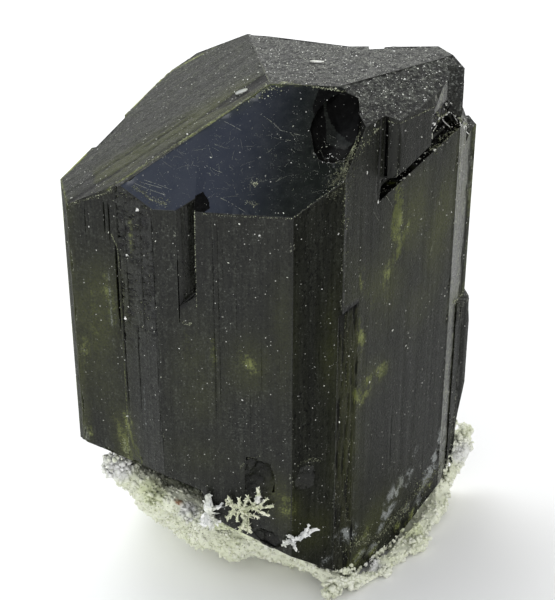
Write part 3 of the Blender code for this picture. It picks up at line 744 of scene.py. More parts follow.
HAZE = {
    -40: (
        ((9.7, 8.9, 6.3), 2.4, 0.9, 50, 1.7), ((11.4, 10.9, 7.7), 1.0, 0.6, 45, 1.3),
        ((14.2, 14.2, 6.8), 0.9, 2.3, -32, 1.8), ((14.8, 14.9, 9.0), 0.5, 1.8, -20, 1.5),
        ((5.8, 4.2, 5.9), 0.8, 0.6, 0, 1.2), ((13.2, 12.9, 4.6), 0.5, 1.6, -30, 1.3),
        ((8.9, 7.9, 4.6), 1.3, 0.6, 60, 1.2), ((8.2, 7.1, 2.6), 1.4, 0.5, 20, 0.8),
        ((12.9, 12.6, 3.2), 1.5, 0.5, 40, 1.0), ((11.4, 10.9, 4.0), 1.4, 0.5, 48, 1.1),
        ((12.2, 11.9, 10.2), 0.4, 0.4, 0, 1.4), ((6.6, 5.1, 2.6), 1.3, 0.5, 15, 0.8),
    ),
    -24: (
        ((15.6, 16.4, 8.6), 0.8, 2.2, -10, 1.0),
    ),
    -43: (
        ((4.9, 3.2, 6.6), 1.2, 0.7, 5, 1.7),
    ),
    -98: (
        ((-15.0, 4.1, 15.5), 0.3, 2.2, 12, 0.5), ((-18.6, 4.6, 17.0), 0.4, 1.4, 10, 0.5),
        ((-15.6, 4.1, 30.6), 0.1, 4.8, 0, 0.5),
    ),
    -126: (
        ((-12.9, 2.8, 20.5), 0.12, 3.4, 0, 0.6),
    ),
    -61: (
        ((3.4, 1.9, 4.9), 0.6, 0.5, 0, 0.7),
    ),
}
# Places of painted shade: the dusty film is thinned there, so they are darker.
SHADE_PATCHES = {
    -98: (
        ((-1.2, 0.2, 33.0), 3.2, 9.0, 0, 0.6), ((-1.5, 0.2, 14.0), 5.0, 5.0, 0, 0.65),
        ((-8.7, 1.2, 37.0), 0.9, 7.0, 0, 0.5), ((-2.9, 0.4, 15.0), 2.0, 2.2, 0, 0.4),
    ),
    -40: (
        ((10.6, 8.2, 44.6), 4.5, 3.4, 0, 0.75), ((6.0, 4.4, 40.0), 2.4, 6.0, 0, 0.35),
    ),
    -108: (
        ((8.2, 6.1, 43.5), 2.5, 6.0, 0, 1.0),
    ),
    -61: (
        ((1.6, 0.8, 14.8), 1.8, 1.8, 0, 0.5),
    ),
}
# Places in deep shade.
INKS = {
    -98: (
        ((-8.9, 1.3, 32.1), 0.7, 0.28, 22, 1.3), ((-9.3, 1.3, 32.4), 0.2, 0.6, 0, 1.1),
    ),
}
PATCH_DEPTH = 1.6


def patch_values(points, patches):
    """The strongest patch at each point, fading to nothing at its rim."""
    found = np.zeros(len(points))
    for azimuth, group in patches.items():
        turn = math.radians(azimuth)
        out = np.array([math.cos(turn), math.sin(turn), 0.0])
        along = np.array([-out[1], out[0], 0.0])
        for centre, half_width, half_height, slant, strength in group:
            lean = math.radians(slant)
            side = along * math.cos(lean) + np.array([0, 0, math.sin(lean)])
            rise = -along * math.sin(lean) + np.array([0, 0, math.cos(lean)])
            offset = points - np.array(centre)
            square = (offset @ side / half_width) ** 2 + (offset @ rise / half_height) ** 2
            square += (offset @ out / PATCH_DEPTH) ** 2
            found = np.maximum(found, strength * np.exp(-0.9 * square))
    return found


def keep_values(mesh, name, values):
    layer = mesh.attributes.new(name, "FLOAT", "POINT")
    layer.data.foreach_set("value", values.astype(np.float32))


# %% Edges where light comes through
# A green band beside the ridge, and the height it starts at.
BESIDE_RIDGE = (((-16.5, 7.0, 41.3), (-4.5, 11.6, 47.2), 3.6, 0.9),)
BESIDE_FOOT = 41.0
# Start, end, half width and strength.
THIN_EDGES = (
    (*RIDGE_ENDS, 0.2, 0.5),
    ((-1.9, 10.4, 48.3), (4.5, 9.2, 48.3), 0.13, 0.55),
    ((-20.1, 10.2, 39.7), (-11.5, 23.4, 44.9), 0.25, 0.85),
    ((-11.5, 23.4, 44.9), (-5.8, 24.5, 47.9), 0.25, 0.85),
    ((-20.1, 10.2, 38.6), (-20.1, 10.2, 14.0), 0.7, 0.55),
    ((-18.8, 4.6, 39.9), (-20.1, 10.2, 39.7), 0.2, 0.3),
    ((-5.8, 24.5, 48.2), (5.2, 20.1, 48.3), 0.12, 0.3),
    ((17.0, 18.8, 41.6), (17.0, 18.8, 24.0), 0.12, 0.25),
)


# %% Values on the points
final = points + moved
net.vertices.foreach_set("co", final.ravel())
# The hollow value is painted shade: it grows with the depth a point is pushed in, and the INKS places add
# deep shade.
keep_values(net, "hollow", np.maximum(hollow_shade, patch_values(final, INKS)))
keep_values(net, "wear", near_edge * (0.25 + chipped))
beside = line_values(final, BESIDE_RIDGE) * (final[:, 2] > BESIDE_FOOT)
keep_values(net, "tint", np.maximum(patch_values(final, TINTS), beside))
keep_values(net, "olive", patch_values(final, OLIVE))
keep_values(net, "haze", patch_values(final, HAZE))
keep_values(net, "thin", line_values(final, THIN_EDGES))
on_left_roof = abs(normals[corner_face] @ np.array(SLOPES["left_roof"][1]) - 1) < 0.001
painted_shade = patch_values(final, SHADE_PATCHES)
# Painted shade on the left roof, darker towards the front.
front = np.zeros(len(points))
np.maximum.at(front, corner_point, on_left_roof * (1 - steep(points[corner_point][:, 1], 1.0, 17.0)))
keep_values(net, "painted_shade", np.maximum(painted_shade, 0.95 * front))
# Painted reflection: the smooth face is tinted blue at its left, fading to the right.
keep_values(net, "painted_blue", 1 - steep(final[:, 0] - 0.3 * (final[:, 1] - 5), -6.5, 1.5))
crystal.clear()
crystal.from_mesh(net)
bpy.data.meshes.remove(net)

# %% [markdown]
# ## A short way to write shader nodes
#
# Node trees get long in a script. One helper adds a node, sets its sockets by name, and links a socket
# when the value it gets is itself a socket. Everything below is written with it.


# %% Node helpers
def add(tree, kind, values=None, **settings):
    made = tree.nodes.new("ShaderNode" + kind)
    for name, value in settings.items():
        setattr(made, name, value)
    for key, value in (values or {}).items():
        socket = made.inputs[key]
        if isinstance(value, bpy.types.NodeSocket):
            tree.links.new(value, socket)
        else:
            socket.default_value = value
    return made


def new_material(name):
    material = bpy.data.materials.new(name)
    material.use_nodes = True
    return material, material.node_tree, material.node_tree.nodes["Principled BSDF"]


def feed(tree, value, socket):
    tree.links.new(value, socket)


def object_place(tree, stretch):
    """The point on the piece, in metres, stretched along the three axes."""
    coordinates = add(tree, "TexCoord")
    return add(tree, "Mapping", {"Vector": coordinates.outputs["Object"], "Scale": stretch}).outputs[0]


def noise_of(tree, place, scale, detail=2.0, roughness=0.5):
    made = add(tree, "TexNoise", {"Vector": place, "Scale": scale, "Detail": detail, "Roughness": roughness})
    return made.outputs["Fac"]


def ramp(tree, value, low, high, bottom=0.0, top=1.0):
    """Maps low..high to bottom..top and holds it outside."""
    values = {"Value": value, "From Min": low, "From Max": high, "To Min": bottom, "To Max": top}
    return add(tree, "MapRange", values, interpolation_type="SMOOTHSTEP").outputs["Result"]


def maths(tree, operation, first, second):
    return add(tree, "Math", {0: first, 1: second}, operation=operation).outputs[0]


def times(tree, product, *others):
    for other in others:
        product = maths(tree, "MULTIPLY", product, other)
    return product


def mixed(tree, amount, first, second):
    """A colour between two, by an amount."""
    made = add(tree, "Mix", {"Factor": amount}, data_type="RGBA")
    for value, socket in ((first, made.inputs[6]), (second, made.inputs[7])):
        if isinstance(value, bpy.types.NodeSocket):
            feed(tree, value, socket)
        else:
            socket.default_value = (*value, 1)
    return made.outputs[2]


def value_on(tree, name):
    return add(tree, "Attribute", attribute_name=name).outputs["Fac"]


# %% [markdown]
# ## The finish of epidote
#
# A dark mineral is mostly reflection: the colour under it is nearly black. What makes it look like
# stone and not plastic is the small stuff, so the finish adds fine streaks along the growth direction,
# pale specks, powder on the chipped edges and a mottled green where the patches are. One function
# makes all the face finishes, because they differ only in how strong each of these is.

# %% Epidote
BLACK = (0.0075, 0.008, 0.006)
SHADE_BLACK = (0.0015, 0.0015, 0.0015)
# Near black that paints shade in pits, fine grooves and hollows.
OLIVE_TINT = (0.047, 0.052, 0.015)
OLIVE_DEEP = (0.060, 0.070, 0.013)
OLIVE_CLEAR = (0.18, 0.20, 0.065)
HAZE_GREY = (0.25, 0.265, 0.26)
THIN_GREEN = (0.46, 0.52, 0.13)
POWDER = (0.40, 0.41, 0.33)
SPECK = (0.52, 0.52, 0.48)
GLINT = (0.27, 0.28, 0.24)
FILM = (0.10, 0.107, 0.092)
# Blue for the smooth face, a painted reflection of the blue light above it.
PAINTED_BLUE = (0.0155, 0.019, 0.030)


def specks_of(tree, place, spacing, size, share):
    """Small round specks, at most one in each cell of a Voronoi pattern."""
    cells = add(tree, "TexVoronoi", {"Vector": place, "Scale": 1 / spacing})
    near = ramp(tree, cells.outputs["Distance"], size * 0.5, size, 1.0, 0.0)
    lot = add(tree, "SeparateColor", {"Color": cells.outputs["Color"]}).outputs["Red"]
    return times(tree, near, ramp(tree, lot, 1 - share, 1 - 0.4 * share))


def beside_ridge(tree):
    """The point on the piece, squeezed along the ridge, so that a pattern on it runs beside the ridge."""
    coordinates = add(tree, "TexCoord")
    turned = RIDGE.to_track_quat("X", "Z").to_euler()
    values = {"Vector": coordinates.outputs["Object"], "Rotation": turned, "Scale": (22, 1, 1)}
    return add(tree, "Mapping", values, vector_type="TEXTURE").outputs[0]


def epidote_finish(
    name, mirror, roughness, streaks, bump, specks, film, tint=BLACK, film_tint=FILM,
    grainy=0.0, lines=0.0, painted_blue=0.0,
):
    """mirror is the specular level, streaks, bump, grainy and lines are strengths, specks and film shares."""
    material, tree, shader = new_material(name)
    shader.inputs["IOR"].default_value = 1.5
    shader.inputs["Specular IOR Level"].default_value = mirror
    along = object_place(tree, (1, 1, 0.035))
    even = object_place(tree, (1, 1, 1))
    streak = noise_of(tree, along, 3200, 3.0, 0.65)
    mottle = noise_of(tree, even, 900, 4.0, 0.65)
    cloud = noise_of(tree, even, 260, 3.0, 0.6)
    fine = noise_of(tree, even, 6500, 2.0, 0.7)

    base = mixed(tree, ramp(tree, streak, 0.35, 0.75), tint, tuple(2.0 * c for c in tint))
    dull = noise_of(tree, even, 5200, 2.0, 0.8)
    dull = times(tree, ramp(tree, dull, 0.47, 0.66), ramp(tree, mottle, 0.36, 0.64, 0.15, 1.0))
    if streaks:
        dull = times(tree, dull, ramp(tree, streak, 0.38, 0.62, 0.45, 1.2))
    # Painted reflection of the blue above, added to the smooth face's colour.
    if painted_blue:
        base = mixed(tree, times(tree, value_on(tree, "painted_blue"), painted_blue), base, PAINTED_BLUE)
    # Painted shade thins the dusty film, so those places are darker.
    clear = ramp(tree, value_on(tree, "painted_shade"), 0.0, 1.0, film, 0.0)
    base = mixed(tree, times(tree, dull, clear), base, film_tint)
    if streaks:
        # Painted shade: small pits along the streaks, in near black.
        pits = noise_of(tree, object_place(tree, (1, 1, 0.45)), 4400, 2.5, 0.75)
        base = mixed(tree, ramp(tree, pits, 0.36, 0.46, 0.85, 0.0), base, SHADE_BLACK)
    # Painted shade: dark lines beside the ridge, in the same near black.
    if lines:
        line = ramp(tree, noise_of(tree, beside_ridge(tree), 2000, 3.0, 0.75), 0.45, 0.54, lines, 0.0)
        line = times(tree, line, ramp(tree, value_on(tree, "tint"), 0.1, 0.8, 0.6, 1.0))
        base = mixed(tree, line, base, SHADE_BLACK)
    # Grain: dark dots of painted shade and pale dots of painted glint.
    if grainy:
        dots = noise_of(tree, object_place(tree, (1, 0.6, 1)), 5400, 2.5, 0.75)
        base = mixed(tree, ramp(tree, dots, 0.41, 0.49, min(0.95, 0.9 * grainy), 0.0), base, SHADE_BLACK)
        base = mixed(tree, ramp(tree, dots, 0.54, 0.66, 0.0, 0.5 * grainy), base, GLINT)
    soft = times(
        tree, value_on(tree, "tint"), ramp(tree, cloud, 0.3, 0.6, 0.55, 1.15),
        ramp(tree, fine, 0.3, 0.7, 0.35, 1.0),
    )
    base = mixed(tree, soft, base, OLIVE_TINT)
    olive = times(
        tree, value_on(tree, "olive"), ramp(tree, mottle, 0.34, 0.64, 0.25, 1.3),
        ramp(tree, fine, 0.32, 0.66, 0.25, 1.3), ramp(tree, streak, 0.3, 0.65, 0.6, 1.2),
    )
    green = mixed(tree, ramp(tree, cloud, 0.35, 0.65), OLIVE_DEEP, OLIVE_CLEAR)
    base = mixed(tree, ramp(tree, olive, 0.08, 0.85), base, green)
    haze = times(
        tree, value_on(tree, "haze"), ramp(tree, mottle, 0.38, 0.66, 0.1, 1.3),
        ramp(tree, fine, 0.35, 0.65, 0.3, 1.3),
    )
    base = mixed(tree, ramp(tree, haze, 0.1, 1.0, 0.0, 0.9), base, HAZE_GREY)
    thin = times(
        tree, value_on(tree, "thin"), ramp(tree, fine, 0.4, 0.6, 0.35, 1.1),
        ramp(tree, mottle, 0.38, 0.6, 0.25, 1.1), ramp(tree, cloud, 0.36, 0.62, 0.25, 1.1),
    )
    base = mixed(tree, thin, base, THIN_GREEN)
    wear = times(tree, value_on(tree, "wear"), ramp(tree, noise_of(tree, even, 5200, 2.0), 0.46, 0.7))
    base = mixed(tree, ramp(tree, wear, 0.25, 1.0, 0.0, 0.8), base, POWDER)
    # Painted shade in the hollows.
    base = mixed(tree, ramp(tree, value_on(tree, "hollow"), 0.1, 0.9, 0.0, 0.95), base, SHADE_BLACK)
    base = mixed(tree, specks_of(tree, even, 0.00042, 0.16, specks), base, SPECK)
    base = mixed(tree, specks_of(tree, even, 0.00023, 0.2, specks), base, tuple(0.4 * c for c in SPECK))
    feed(tree, base, shader.inputs["Base Color"])

    rough = ramp(tree, mottle, 0.3, 0.7, roughness * 0.8, roughness * 1.3)
    if not painted_blue:
        rough = maths(tree, "ADD", rough, ramp(tree, wear, 0.1, 0.8, 0.0, 0.35))
    feed(tree, rough, shader.inputs["Roughness"])

    height = maths(tree, "ADD", times(tree, streak, streaks), times(tree, fine, bump))
    if grainy:
        pebble = add(tree, "TexVoronoi", {"Vector": even, "Scale": 3600.0}).outputs["Distance"]
        height = maths(tree, "ADD", height, times(tree, pebble, grainy))
    relief = add(tree, "Bump", {"Height": height, "Distance": 0.00006, "Strength": 1.0})
    feed(tree, relief.outputs["Normal"], shader.inputs["Normal"])
    return material


ROOF_TINT = (0.010, 0.011, 0.008)
ROOF_FILM = (0.25, 0.255, 0.222)
LEFT_FILM = (0.085, 0.096, 0.045)
RIGHT_FILM = (0.070, 0.079, 0.070)
BAND_FILM = (0.10, 0.095, 0.06)
# Near black of painted shade, for the pit, the hole and the slot.
DEEP_SHADE = (0.002, 0.002, 0.002)
# Specular level, roughness, streaks, bump, specks, film, and where they differ from plain black
# epidote the two tints, the grain, the lines and the painted blue reflection.
FINISHES = {
    "face": (0.26, 0.26, 0.5, 0.8, 0.16, 0.5),
    # right and dark reflect less than face: painted shade for the darker surroundings these faces mirror.
    "right": (0.08, 0.26, 0.25, 1.0, 0.2, 0.45, BLACK, RIGHT_FILM),
    "dark": (0.04, 0.34, 0.4, 0.9, 0.2, 0.2),
    "band": (0.05, 0.34, 1.0, 1.2, 0.35, 0.4, BLACK, BAND_FILM),
    "left": (0.02, 0.5, 0.5, 0.9, 0.2, 0.9, BLACK, LEFT_FILM),
    "lit": (0.26, 0.26, 0.5, 0.8, 0.16, 0.9, BLACK, (0.23, 0.24, 0.225)),
    # strip: its light film is a painted reflection of the bright room on this narrow face.
    "strip": (0.6, 0.3, 1.2, 0.6, 0.2, 1.0, BLACK, (0.37, 0.39, 0.27)),
    "roof": (0.4, 0.4, 0.0, 1.6, 0.35, 1.0, ROOF_TINT, ROOF_FILM, 1.0),
    "left_roof": (0.15, 0.36, 0.0, 1.4, 0.3, 0.8, ROOF_TINT, (0.175, 0.185, 0.14), 0.32, 0.95),
    "pebbled": (0.22, 0.4, 0.0, 2.0, 0.9, 0.6, ROOF_TINT, (0.23, 0.245, 0.21), 1.0),
    "crumbly": (0.2, 0.4, 0.0, 2.0, 0.9, 1.0, ROOF_TINT, (0.3, 0.31, 0.2), 1.0),
    "blue": (0.22, 0.2, 0.0, 0.1, 0.12, 0.05, (0.002, 0.003, 0.002), FILM, 0.0, 0.0, 1.0),
    # hollow and glassy paint the shade of the pit, the hole and the slot; glassy keeps a gloss.
    "hollow": (0.02, 0.25, 0.0, 0.3, 0.06, 0.02, DEEP_SHADE),
    "facet": (0.05, 0.2, 0.0, 0.4, 0.1, 0.1, (0.008, 0.009, 0.008)),
    "glassy": (0.3, 0.1, 0.0, 0.5, 0.3, 0.02, DEEP_SHADE),
}
# Kinds of face that take a finish of another name.
FINISH_OF_KIND = dict.fromkeys(("wall", "edge", "worn", "underside", "chip"), "face")
FINISH_OF_KIND.update({"ledge": "roof", "pit": "hollow", "hole": "hollow", "slot": "glassy"})
# Outlines in plan: the reach of the shell-shaped break that is painted black as shade, and the lighter facet
# inside it.
BREAK_REACH = (
    (2.2, 9.6), (4.8, 9.3), (5.6, 7.7), (6.0, 6.1), (4.8, 4.7), (3.8, 4.0), (3.0, 4.3), (2.4, 5.6),
    (1.8, 7.2), (1.7, 8.4),
)
HOLE_REACH_PLAN = ((-8.2, 1.3), (-7.9, 2.3), (-7.3, 2.6), (-6.8, 1.9), (-6.7, 1.3), (-7.4, 0.9))
BREAK_FACET = ((2.5, 9.0), (2.8, 7.9), (2.8, 6.6), (4.2, 5.9), (5.0, 6.0), (4.1, 7.2))


def in_outline(point, outline):
    """Whether a point lies inside a closed outline in plan."""
    inside = False
    for (x, y), (next_x, next_y) in zip(outline, outline[1:] + outline[:1]):
        if (y > point.y) != (next_y > point.y):
            if point.x < x + (point.y - y) * (next_x - x) / (next_y - y):
                inside = not inside
    return inside


SMOOTH_BELOW = math.radians(22)
order = list(FINISHES)
kinds = crystal.faces.layers.int["kind"]
for face in crystal.faces:
    kind = KINDS[face[kinds]]
    finish = FINISH_OF_KIND.get(kind, kind)
    azimuth = azimuth_of(face.normal)
    centre = face.calc_center_median()
    # The narrow strip high on the right takes the strip finish, a painted reflection; the rest of the right
    # side takes right.
    if kind == "wall" and -50 < azimuth < -20:
        finish = "strip" if -33 < azimuth < -29 and centre.z > 43 else "right"
    if kind == "wall" and -106 < azimuth < -90 and centre.x > 12:
        finish = "lit"
    # Painted shade: the blue face is black inside the break and the hole.
    if kind == "blue" and (in_outline(centre, BREAK_REACH) or in_outline(centre, HOLE_REACH_PLAN)):
        finish = "hollow"
    if kind == "pit" and in_outline(centre, BREAK_FACET):
        finish = "facet"
    face.material_index = order.index(finish)
finishes = [epidote_finish("epidote_" + name, *values) for name, values in FINISHES.items()]
body = placed("crystal", crystal, finishes)
body.data.shade_smooth()
body.data.set_sharp_from_angle(angle=SMOOTH_BELOW)
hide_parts("epidote_crystal")
CRYSTAL_MESH = body.data


def plain(name, colour, roughness, ior=1.5):
    material, tree, shader = new_material(name)
    shader.inputs["Base Color"].default_value = (*colour, 1)
    shader.inputs["Roughness"].default_value = roughness
    shader.inputs["IOR"].default_value = ior
    return material


# %% [markdown]
# ## Many small crystals as one mesh
#
# The crust is thousands of crystals a few tenths of a millimetre long. Each is a simple shape with a
# dozen faces, made once in a few variants. Copies are turned, scaled and joined into one mesh, and
# every copy keeps a random tone, so that the finish can tell its neighbours apart.


# %% Small shapes and swarms of them
# No small crystal goes below this height, and neither does the body of the crust.
GROUND = 0.02


def raised_lid(bm, height):
    """Extrudes what is drawn upwards, and gives the faces on top."""
    lid = bmesh.ops.extrude_face_region(bm, geom=list(bm.faces))["geom"]
    verts = [item for item in lid if isinstance(item, bmesh.types.BMVert)]
    bmesh.ops.translate(bm, verts=verts, vec=(0, 0, height))
    return [item for item in lid if isinstance(item, bmesh.types.BMFace)]


def small_shape(rng, kind):
    """One loose crystal, about 2 units long: its mesh and its points."""
    bm = bmesh.new()
    if kind == "shard":
        bmesh.ops.create_cone(bm, cap_ends=True, segments=4, radius1=1.15, radius2=0.5, depth=1.6)
    elif kind == "block":
        bmesh.ops.create_cube(bm, size=1.5)
    elif kind == "flake":
        bmesh.ops.create_circle(bm, cap_ends=True, segments=6, radius=1.0)
        raised_lid(bm, 0.3)
    elif kind == "column":
        bmesh.ops.create_cone(bm, cap_ends=True, segments=6, radius1=0.8, radius2=1.0, depth=2.0)
        top = max(bm.faces, key=lambda face: face.calc_center_median().z)
        tip = bmesh.ops.poke(bm, faces=[top])["verts"]
        bmesh.ops.translate(bm, verts=tip, vec=(0.2, 0.1, 0.7))
    for vert in bm.verts:
        vert.co += Vector([rng.uniform(-0.3, 0.3) for _ in range(3)])
    bmesh.ops.recalc_face_normals(bm, faces=bm.faces)
    mesh = mesh_of(kind, bm)
    mesh.attributes.new("tone", "FLOAT", "POINT")
    return mesh, read(mesh.vertices, "co", 3)


def swarm(shapes, places, rng):
    """Joins copies. A place is a point, a direction, three sizes and a tone."""
    bm = bmesh.new()
    for point, outward, sizes, tone in places:
        mesh, corners = rng.choice(shapes)
        spin = Matrix.Rotation(rng.uniform(0, 6.28), 3, "Z")
        turn = Vector(outward).to_track_quat("Z", "Y").to_matrix() @ spin
        turn = np.array(turn) * np.array(sizes)
        mesh.vertices.foreach_set("co", (corners @ turn.T + np.array(point)).ravel())
        mesh.attributes["tone"].data.foreach_set("value", np.full(len(corners), tone, np.float32))
        bm.from_mesh(mesh)
    for vert in bm.verts:
        vert.co.z = max(vert.co.z, GROUND)
    return bm


def random_direction(rng):
    turn = rng.uniform(0, math.tau)
    rise = rng.uniform(-1, 1)
    flat = math.sqrt(1 - rise * rise)
    return Vector((flat * math.cos(turn), flat * math.sin(turn), rise))


def spread_over(mesh, count, seed, weight=None):
    """Random points on a mesh, evenly by area, with the direction the surface faces there."""
    mesh.calc_loop_triangles()
    corners = read(mesh.vertices, "co", 3)[read(mesh.loop_triangles, "vertices", 3, np.int32)]
    across = np.cross(corners[:, 1] - corners[:, 0], corners[:, 2] - corners[:, 0])
    area = np.linalg.norm(across, axis=1)
    share = area * (weight(corners.mean(1), across / np.maximum(area, 1e-12)[:, None]) if weight else 1)
    draw = np.random.default_rng(seed)
    chosen = draw.choice(len(share), size=count, p=share / share.sum())
    first, second = draw.random(count), draw.random(count)
    over = first + second > 1
    first[over], second[over] = 1 - first[over], 1 - second[over]
    corner = corners[chosen]
    place = corner[:, 0] + first[:, None] * (corner[:, 1] - corner[:, 0])
    place += second[:, None] * (corner[:, 2] - corner[:, 0])
    return place, across[chosen] / np.maximum(area[chosen], 1e-12)[:, None]


shape_rng = random.Random(7)
GRAIN_KINDS = ("shard", "block", "block", "shard", "block", "column", "shard")
GRAINS = [small_shape(shape_rng, kind) for kind in GRAIN_KINDS]
FLAKES = [small_shape(shape_rng, kind) for kind in ("flake", "flake", "shard")]
COLUMNS = [small_shape(shape_rng, "column") for _ in range(4)]

# %% [markdown]
# ## The body of the crust
#
# Under the loose-looking crystals the crust is solid. Its form comes from the frame. A voxel remesh
# gives it even points, and two sizes of random value press hollows into it. A jitter of a twentieth of a
# millimetre breaks up the even grid. In a strip right of the middle, from the front to the back, the
# crust is made lower than the frame has it.

# %% Crust body
CRUST_VOXEL = 0.21
CRUST_HOLLOW = 0.32
CRUST_PITS = 0.16
CRUST_LOWERED = 0.42


def remeshed(bm, voxel):
    """The same form with even points, still in the drawing's millimetres."""
    rough = linked("rough", mesh_of("rough", bm))
    blend = rough.modifiers.new("blend", "REMESH")
    blend.mode = "VOXEL"
    blend.voxel_size = voxel
    even = bpy.data.meshes.new_from_object(rough.evaluated_get(bpy.context.evaluated_depsgraph_get()))
    bpy.data.objects.remove(rough)
    return even


even = remeshed(copied("matrix_crust"), CRUST_VOXEL)
body_points = read(even.vertices, "co", 3)
body_normals = read(even.vertices, "normal", 3)
hollow = CRUST_HOLLOW * steep(grain(body_points, 1.3, 70), -0.3, 0.9)
hollow += CRUST_PITS * steep(grain(body_points, 0.5, 71) + 0.5 * grain(body_points, 0.25, 72), -0.3, 0.9)
body_points -= body_normals * hollow[:, None]
body_points += np.random.default_rng(73).uniform(-0.05, 0.05, body_points.shape)
low_part = steep(body_points[:, 0], 4.5, 7.5) * (1 - steep(body_points[:, 0], 12.5, 16.0))
body_points[:, 2] *= 1 - CRUST_LOWERED * low_part
body_points[:, 2] = np.maximum(body_points[:, 2], GROUND)
even.vertices.foreach_set("co", body_points.ravel())
even.update()
crust_body = bmesh.new()
crust_body.from_mesh(even)

# %% [markdown]
# ## Crystals of the crust
#
# The crystals sit on the body by area. More and smaller ones lie on the upper side, and a thin row
# climbs the foot of the epidote, which is how the two grew together. Some clumps are lilac, the rim is
# yellow green and one spot is rusty. Those places are named, and each crystal takes its colour values
# from where it lies.

# %% Where the crystals lie
CRUST_CRYSTALS = 9500
# Clumps of larger crystals: centre, reach and count.
CLUMPS = (
    ((-16.2, 5.0, 13.4), 1.3, 90), ((-15.2, 5.4, 12.0), 1.0, 60), ((-9.6, 3.7, 8.8), 0.9, 80),
    ((-8.4, 1.9, 8.9), 0.6, 30), ((3.9, 2.1, 1.1), 1.0, 110), ((6.0, 3.3, 0.8), 0.8, 50),
    ((17.6, 19.6, 6.2), 1.0, 70), ((18.3, 20.4, 7.1), 0.7, 50), ((15.6, 15.6, 1.0), 0.8, 60),
    ((12.4, 9.2, 0.9), 0.9, 110), ((9.2, 5.4, 0.6), 0.6, 40), ((-13.0, 5.0, 9.6), 0.9, 50),
)
CLIMB = 1.9
CLIMB_TOP = 18
CLIMBING = 2400
grain_rng = random.Random(12)


def on_show(centres, normals):
    """Hardly any crystals where the crust rests on the ground."""
    return 0.15 + 0.85 * steep(normals[:, 2], -0.75, -0.2) * steep(centres[:, 2], 0.1, 0.5)


def crystal_place(point, outward, size, tone, lift=0.3):
    outward = (Vector(outward) + 0.9 * random_direction(grain_rng)).normalized()
    sizes = [size * grain_rng.uniform(0.7, 1.3) for _ in range(3)]
    point = Vector(point) + outward * size * lift
    point.z = max(point.z, size)
    return point, outward, sizes, tone


places = []
for point, outward in zip(*spread_over(even, CRUST_CRYSTALS, 13, on_show)):
    size = 0.07 + 0.17 * grain_rng.random() ** 2.4
    places.append(crystal_place(point, outward, size, 0.25 + 0.75 * grain_rng.random()))
for centre, reach, count in CLUMPS:
    for _ in range(count):
        away = random_direction(grain_rng) * reach * grain_rng.random() ** 0.5
        size = 0.12 + 0.16 * grain_rng.random()
        places.append(crystal_place(Vector(centre) + away, away, size, 0.3 + 0.7 * grain_rng.random(), 0.0))
body_tree = tree_of(body_points)


def near_crust(centres, normals):
    gap = np.array([body_tree.find(co)[2] for co in centres])
    on_right = abs(normals @ np.array(RIGHT_OUT) - 1) < 0.05
    gap *= np.where(on_right, 2.6, 1.0)
    return (1 - steep(gap, 0.2, CLIMB)) ** 2 * steep(normals[:, 2], -0.6, -0.2)


crystal_low_part = drawing_of(CRYSTAL_MESH)
high = [vert for vert in crystal_low_part.verts if vert.co.z > CLIMB_TOP]
bmesh.ops.delete(crystal_low_part, geom=high, context="VERTS")
climbing = mesh_of("climbing", crystal_low_part)
for point, outward in zip(*spread_over(climbing, CLIMBING, 14, near_crust)):
    size = 0.05 + 0.2 * grain_rng.random() ** 3
    gap = body_tree.find(point)[2]
    tone = grain_rng.random() * (1 - 0.85 * min(1.0, gap / CLIMB))
    places.append(crystal_place(point, outward, size, tone, 0.1))
crust_grains = swarm(GRAINS, places, grain_rng)
print(len(places), "crystals in the crust")

# %% [markdown]
# ## Three sprays of pale crystals
#
# Low on the front face stand three small open sprays. In each a few stems run from a root, fork and end
# in blunt crystals. A stem is a row of short blocky crystals end to end, so one function grows all of
# them from a list of stems: where it starts, where it ends and how thick it is.

